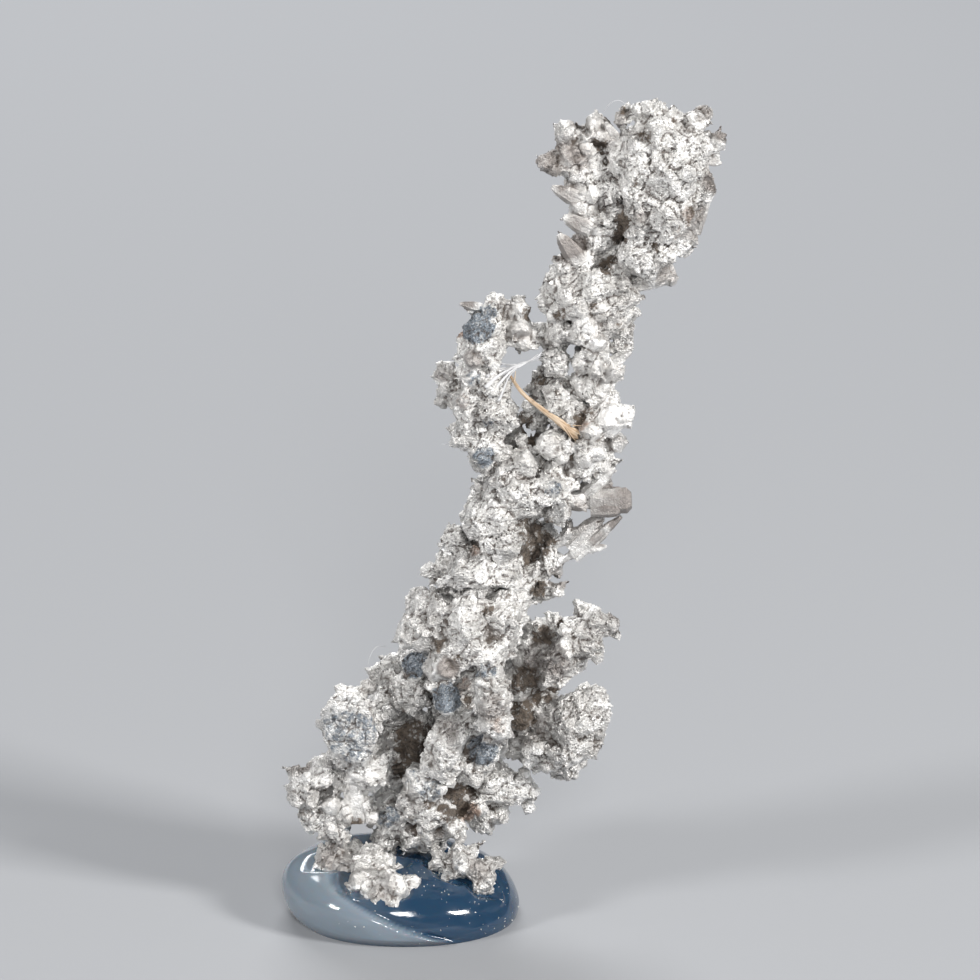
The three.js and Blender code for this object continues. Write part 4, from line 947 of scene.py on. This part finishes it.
def gumAt(degrees, share, height, swell):
    # share of the half width, turned about Z and pulled to the oval
    angle = np.radians(degrees)
    side, front = np.cos(angle), np.sin(angle)
    power = gum["squareness"]
    oval = (np.abs(side) ** power + np.abs(front) ** power) ** (-1 / power)
    x = gum["centreX"] + gum["lean"] * height + side * (share * oval * gum["halfWidth"] + swell)
    y = gum["centreY"] + front * (share * oval * gum["halfDepth"] + swell)
    return np.stack(np.broadcast_arrays(x, y, height), -1)


def makeGum():
    around, up = gum["around"], gum["up"]
    degrees = np.arange(around) * 360 / around - 180
    turn = np.linspace(-1, 1, up)  # below 0 is under the belly, 1 is the top
    n = gum["roundness"]
    rise = np.sin(np.clip(turn, 0, 1) * math.pi / 2) ** (2 / n)
    share = np.cos(np.clip(turn, 0, 1) * math.pi / 2) ** (2 / n)
    height = gum["belly"] + (gum["height"] - gum["belly"]) * rise
    low = turn < 0
    under = -turn[low]
    height[low] = gum["belly"] * (1 - np.minimum(1, under * 1.25))
    share[low] = 1 - (1 - gum["footShare"]) * np.minimum(1, under * 1.25) ** 2.2
    h, d = np.meshgrid(height, degrees, indexing="ij")
    s = np.broadcast_to(share[:, None], h.shape)
    (topHeight, topDegrees), (footHeight, footDegrees) = gum["foldTop"], gum["foldFoot"]
    along = (topHeight - h) / (topHeight - footHeight)
    edge = topDegrees + (footDegrees - topDegrees) * np.clip(along, -0.4, 1.1)
    edge = edge + 3.0 * np.sin(along * 5.0)
    behind = (edge - d + 60) % 360 - 60  # from just before the fold's edge, round to the back
    fade = eased(along, -0.45, 0.1) * (1 - eased(along, 0.92, 1.15))
    roll = eased(behind, -1.6, 2.2) * (1 - eased(behind, 2.0, gum["foldReach"])) * gum["foldSwell"]
    dip = np.exp(-((behind + 3.0) / 2.6) ** 2) * gum["groove"]
    swell = (roll - dip) * fade
    points = gumAt(d, s, h, swell).reshape(-1, 3)
    points = np.vstack([points, [gumAt(0, 0, 0, 0), gumAt(0, 0, gum["height"], 0)]])
    triangles = capped(up, around)
    # slow unevenness, finger marks and the lip around the silver
    skin = normalsOf(points, triangles)
    free = eased(points[:, 2], 0.3, 1.2)
    (slow, slowHeight), (quick, quickHeight) = gum["unevenness"]
    lift = waves(points, slow, 3) * slowHeight + waves(points * (1, 1, 2.5), quick, 4) * quickHeight
    gap = np.array([silverTree.find_nearest(Vector(p), 1.2)[3] or 1.2 for p in points])
    lift += gum["lip"] * np.exp(-((gap - 0.75) / 0.22) ** 2) - gum["press"] * np.exp(-((gap / 0.5) ** 2))
    points = points + skin * (lift * free)[:, None]
    pale = np.concatenate([(eased(behind, -2.0, 1.5) * (1 - eased(behind, 60, 150)) * fade).ravel(), [0, 0]])
    return points, triangles, pale


gumPoints, gumTriangles, gumPale = makeGum()
gumLook = dict(
    deep=(0.014, 0.042, 0.085), milky=(0.195, 0.24, 0.285), streak=(0.06, 0.10, 0.15),
    gloss=0.1, smudge=0.16, milk=0.35, milkDepth=0.9, film=0.4, filmGloss=0.06,
)


def gumFinish():
    finish = Finish("mounting gum")
    across = finish.node("ShaderNodeSeparateXYZ", {}, {0: finish.places()})
    # paler towards the left: painted light falling on the gum's left flank
    left = (0 - across).within(-3.5, 8.0)
    roll = finish.marked("roll")
    drift = finish.node("ShaderNodeMapping", {}, {"Vector": finish.places(), "Scale": (0.25, 0.5, 2.2)})
    streaks = finish.node("ShaderNodeTexNoise", {}, {"Vector": drift, "Scale": 0.55, "Detail": 4})
    colour = finish.blend(streaks.within(0.52, 0.78) * 0.7, gumLook["deep"], gumLook["streak"])
    milk = (roll * 0.75 + left * 0.8 - 0.1 + finish.noise(2.5, 2) * 0.2).within(0.2, 1.05)
    colour = finish.blend(milk, colour, gumLook["milky"])
    smudges = finish.noise(0.9, 4).within(0.45, 0.75)
    return finish.wear(
        Base_Color=colour,
        Roughness=gumLook["gloss"] + smudges * gumLook["smudge"],
        Subsurface_Weight=gumLook["milk"],
        Subsurface_Scale=gumLook["milkDepth"] * mm,
        Coat_Weight=gumLook["film"],
        Coat_Roughness=gumLook["filmGloss"],
        Normal=finish.bump(finish.noise(0.7, 3), 0.05, 0.35),
    )


dress("gum", (gumPoints, gumTriangles), gumFinish(), ("mounting_gum",), {"roll": gumPale})

dust = dict(
    count=150, least=0.022, most=0.07, seed=41, raised=0.3,
    pale=(0.78, 0.76, 0.72), dark=(0.45, 0.44, 0.42), roughness=0.6,
)


def makeDust():
    random = np.random.default_rng(dust["seed"])
    at, out = scattered(gumPoints, gumTriangles, 2.0, random)
    weight = eased(at[:, 0], -3.0, 4.0) * eased(-at[:, 1], 0.0, 5.0) + 0.06
    weight = weight * (at[:, 2] > 0.25)
    chosen = random.choice(len(at), dust["count"], replace=False, p=weight / weight.sum())
    at, out = at[chosen], out[chosen]
    sizes = dust["least"] + (dust["most"] - dust["least"]) * random.random(len(at)) ** 3
    stretch = random.uniform(0.5, 1.6, (len(at), 3))
    at = at + out * sizes[:, None] * dust["raised"]
    return crystalsAt(octahedron, at, sizes, turned(random, len(at)), stretch, random)


dustFinish = Finish("dust")
dustShade = dustFinish.blend(dustFinish.noise(0.2), dust["pale"], dust["dark"])
dustMaterial = dustFinish.wear(Base_Color=dustShade, Roughness=dust["roughness"])
dustParts = makeDust()
dress("gum_dust", dustParts, dustMaterial, flat=len(dustParts[1]))
print("the gum is made")


# the splinter of wood

splinter = dict(
    # x, height, y from its upper end to its lower one
    route=[
        (7.9, 40.4, -1.4), (8.8, 39.1, -2.1), (10.1, 37.97, -2.7), (11.3, 37.05, -2.55), (12.7, 36.0, -2.2),
    ],
    widths=(0.2, 0.26, 0.3, 0.36, 0.5, 0.7), flatness=0.45, sides=22, steps=90, seed=9,
    knots=(0.35, 0.12), grain=(0.1, 0.08),  # size and share of the width
    torn=(-0.25, 0.35),  # how far the lower end's rim falls short or runs out
    # loose fibres: where they leave along the splinter, and their ends
    frays=[
        (0.80, (12.9, 36.7, -2.5)), (0.86, (13.15, 36.25, -2.2)), (0.84, (12.6, 35.5, -2.3)),
        (0.72, (12.2, 35.75, -2.5)), (0.78, (13.3, 35.9, -2.25)), (0.06, (7.6, 40.9, -1.3)),
        (0.10, (8.3, 40.7, -1.6)),
    ],
    frayWidth=(0.07, 0.02), frayBend=0.06, frayRings=14,
)


def makeSplinter():
    random = np.random.default_rng(splinter["seed"])
    steps, sides = splinter["steps"], splinter["sides"]
    stem = curveThrough([place(*p) for p in splinter["route"]], steps)
    share = np.linspace(0, 1, steps)
    width = np.interp(share, np.linspace(0, 1, len(splinter["widths"])), splinter["widths"]) / 2
    flutes = 1 + random.uniform(-0.2, 0.16, sides)
    points, triangles = tube(stem, width, sides, splinter["flatness"], flutes)
    middle = np.repeat(stem, sides, 0)
    middle = np.vstack([middle, stem[:1], stem[-1:]])
    (knot, knotShare), (grain, grainShare) = splinter["knots"], splinter["grain"]
    rough = waves(points, knot, 5) * knotShare + waves(points, grain, 6) * grainShare
    points = middle + (points - middle) * (1 + rough)[:, None]
    # the lower end is torn, so its rim runs out unevenly
    way = stem[-1] - stem[-4]
    way /= np.linalg.norm(way)
    last = slice((steps - 1) * sides, steps * sides)
    points[last] += way * random.uniform(*splinter["torn"], (sides, 1))
    parts = [(points, triangles)]
    length = np.linalg.norm(np.diff(stem, axis=0), axis=1).sum()
    along = [np.repeat(share, sides) * length, [0, length]]
    about = [np.tile(np.abs(np.arange(sides) * 2 / sides - 1), steps), [0, 0]]
    for start, end in splinter["frays"]:
        root = stem[int(start * (steps - 1))]
        tip = place(*end)
        bend = (root + tip) / 2 + random.normal(size=3) * splinter["frayBend"]
        path = curveThrough([root, bend, tip], splinter["frayRings"])
        parts.append(tube(path, np.linspace(*splinter["frayWidth"], splinter["frayRings"]), 5))
        along.append(np.full(len(parts[-1][0]), start * length))
        about.append(np.full(len(parts[-1][0]), random.random()))
    return joined(parts), dict(along=np.concatenate(along), about=np.concatenate(about))


splinterColours = dict(pale=(0.64, 0.52, 0.39), tan=(0.40, 0.26, 0.15), dark=(0.17, 0.10, 0.055))


def splinterFinish():
    finish = Finish("splinter wood")
    along, about = finish.marked("along") * 0.7, finish.marked("about") * 7
    drift = finish.node("ShaderNodeCombineXYZ", {}, {0: along, 1: about})
    grain = finish.node("ShaderNodeTexNoise", {}, {"Vector": drift, "Scale": 1.0, "Detail": 5})
    colour = finish.blend(grain.within(0.35, 0.62), splinterColours["tan"], splinterColours["pale"])
    colour = finish.blend(finish.noise(0.7, 3).within(0.56, 0.7) * 0.7, colour, splinterColours["dark"])
    return finish.wear(Base_Color=colour, Roughness=0.55 + grain * 0.25, Normal=finish.bump(grain, 0.03, 0.8))


splinterParts, splinterMarks = makeSplinter()
dress("splinter", splinterParts, splinterFinish(), ("wood_splinter",), splinterMarks)
print("the splinter is made")


# the web of fine fibres beside it, and the loose hairs

# each strand: its points as x, height, y, and its thickness at both ends
strands = [
    ([(7.3, 40.4, -1.5), (8.3, 41.0, -1.7), (9.3, 41.45, -1.6), (10.2, 42.0, -1.4)], 0.16, 0.05),
    ([(7.2, 40.7, -1.4), (8.2, 41.05, -1.6), (9.2, 41.4, -1.5), (10.1, 41.75, -1.3)], 0.12, 0.035),
    ([(7.0, 40.1, -1.5), (8.0, 40.7, -1.8), (8.9, 41.2, -1.7), (9.9, 41.95, -1.4)], 0.10, 0.04),
    ([(7.4, 39.9, -1.5), (8.1, 40.6, -1.7), (8.7, 41.15, -1.7), (9.5, 41.5, -1.5)], 0.10, 0.03),
    ([(7.6, 41.1, -1.3), (8.3, 41.15, -1.5), (9.0, 41.4, -1.5), (10.2, 41.55, -1.3)], 0.08, 0.03),
    ([(9.2, 41.35, -1.5), (9.7, 41.5, -1.6), (10.3, 41.5, -1.4)], 0.05, 0.03),
    ([(9.3, 41.5, -1.5), (9.8, 41.75, -1.6), (10.4, 41.9, -1.3)], 0.05, 0.03),
    ([(9.0, 41.3, -1.6), (9.6, 41.6, -1.7), (10.4, 42.3, -1.3)], 0.06, 0.03),
    ([(6.8, 39.6, -1.6), (7.6, 40.35, -1.9), (8.3, 40.95, -1.8), (9.2, 41.4, -1.6)], 0.2, 0.05),
    ([(6.7, 40.9, -1.3), (7.6, 40.9, -1.5), (8.4, 41.1, -1.6), (9.3, 41.5, -1.5)], 0.2, 0.05),
    ([(7.0, 40.3, -1.7), (7.7, 40.6, -1.8), (8.5, 41.0, -1.7), (9.0, 41.3, -1.6)], 0.3, 0.08),
    ([(7.4, 39.4, -1.7), (7.7, 40.0, -1.9), (8.1, 40.6, -1.8), (8.8, 41.2, -1.7)], 0.12, 0.04),
    ([(6.9, 41.3, -1.2), (7.7, 41.2, -1.4), (8.5, 41.2, -1.5)], 0.12, 0.04),
    ([(6.3, 40.3), (7.2, 40.7), (8.3, 41.05, -1.8), (9.2, 41.4, -1.5)], 0.32, 0.05),
    ([(6.5, 38.8), (7.1, 39.7), (7.9, 40.6, -2.0), (8.8, 41.2, -1.7)], 0.32, 0.05),
    ([(7.1, 38.5), (7.5, 39.5), (7.9, 40.4, -2.0), (8.6, 41.1, -1.7)], 0.26, 0.04),
    ([(6.2, 39.5), (6.9, 40.2), (7.8, 40.8, -1.9), (8.9, 41.3, -1.6)], 0.34, 0.05),
]
hairs = [
    ([(-0.9, 20.3, -1.6), (-1.6, 20.2, -2.2), (-2.05, 19.4, -2.5), (-2.1, 18.6, -2.4), (-1.7, 18.0, -2.0)],
     0.03, 0.02),
    ([(4.6, 34.8, -1.0), (4.1, 35.15, -1.3), (3.6, 35.3, -1.4), (3.1, 35.35, -1.3)], 0.035, 0.02),
    ([(14.4, 59.4, 0.0), (14.9, 60.0, -0.2), (15.5, 60.15, -0.2), (16.1, 59.7, 0.0)], 0.035, 0.02),
]


fibre = dict(
    rings=26, sides=5, sunk=-0.15,  # sunk: how deep a point on the silver lies, in front of it below 0
    pale=(0.86, 0.86, 0.87), dark=(0.62, 0.62, 0.64), roughness=0.35, clearness=0.2,
)


def makeStrands(listed):
    parts = []
    for points, first, last in listed:
        # a point without a depth lies on the silver
        through = [place(*p) if len(p) == 3 else onFront(*p, fibre["sunk"]) for p in points]
        path = curveThrough(through, fibre["rings"])
        parts.append(tube(path, np.linspace(first, last, fibre["rings"]) / 2, fibre["sides"]))
    return joined(parts)


webFinish = Finish("pale fibre")
webShade = webFinish.blend(webFinish.noise(0.3), fibre["pale"], fibre["dark"])
webMaterial = webFinish.wear(
    Base_Color=webShade, Roughness=fibre["roughness"], Transmission_Weight=fibre["clearness"])
dress("fibre_web", makeStrands(strands), webMaterial)
dress("loose_hairs", makeStrands(hairs), webMaterial)
print("the fibres are made")


# floor

slab = stage["side"] / 2
floorMesh = meshOf("floor", np.array([
    [-slab, -slab, 0], [slab, -slab, 0], [slab, slab, 0], [-slab, slab, 0],
]) * mm, np.array([[0, 1, 2], [0, 2, 3]]))
floor = linked("floor", floorMesh)
floorFinish = Finish("pale floor")
floorMesh.materials.append(floorFinish.wear(
    Base_Color=stage["colour"], Roughness=stage["roughness"], Specular_IOR_Level=stage["gloss"]))
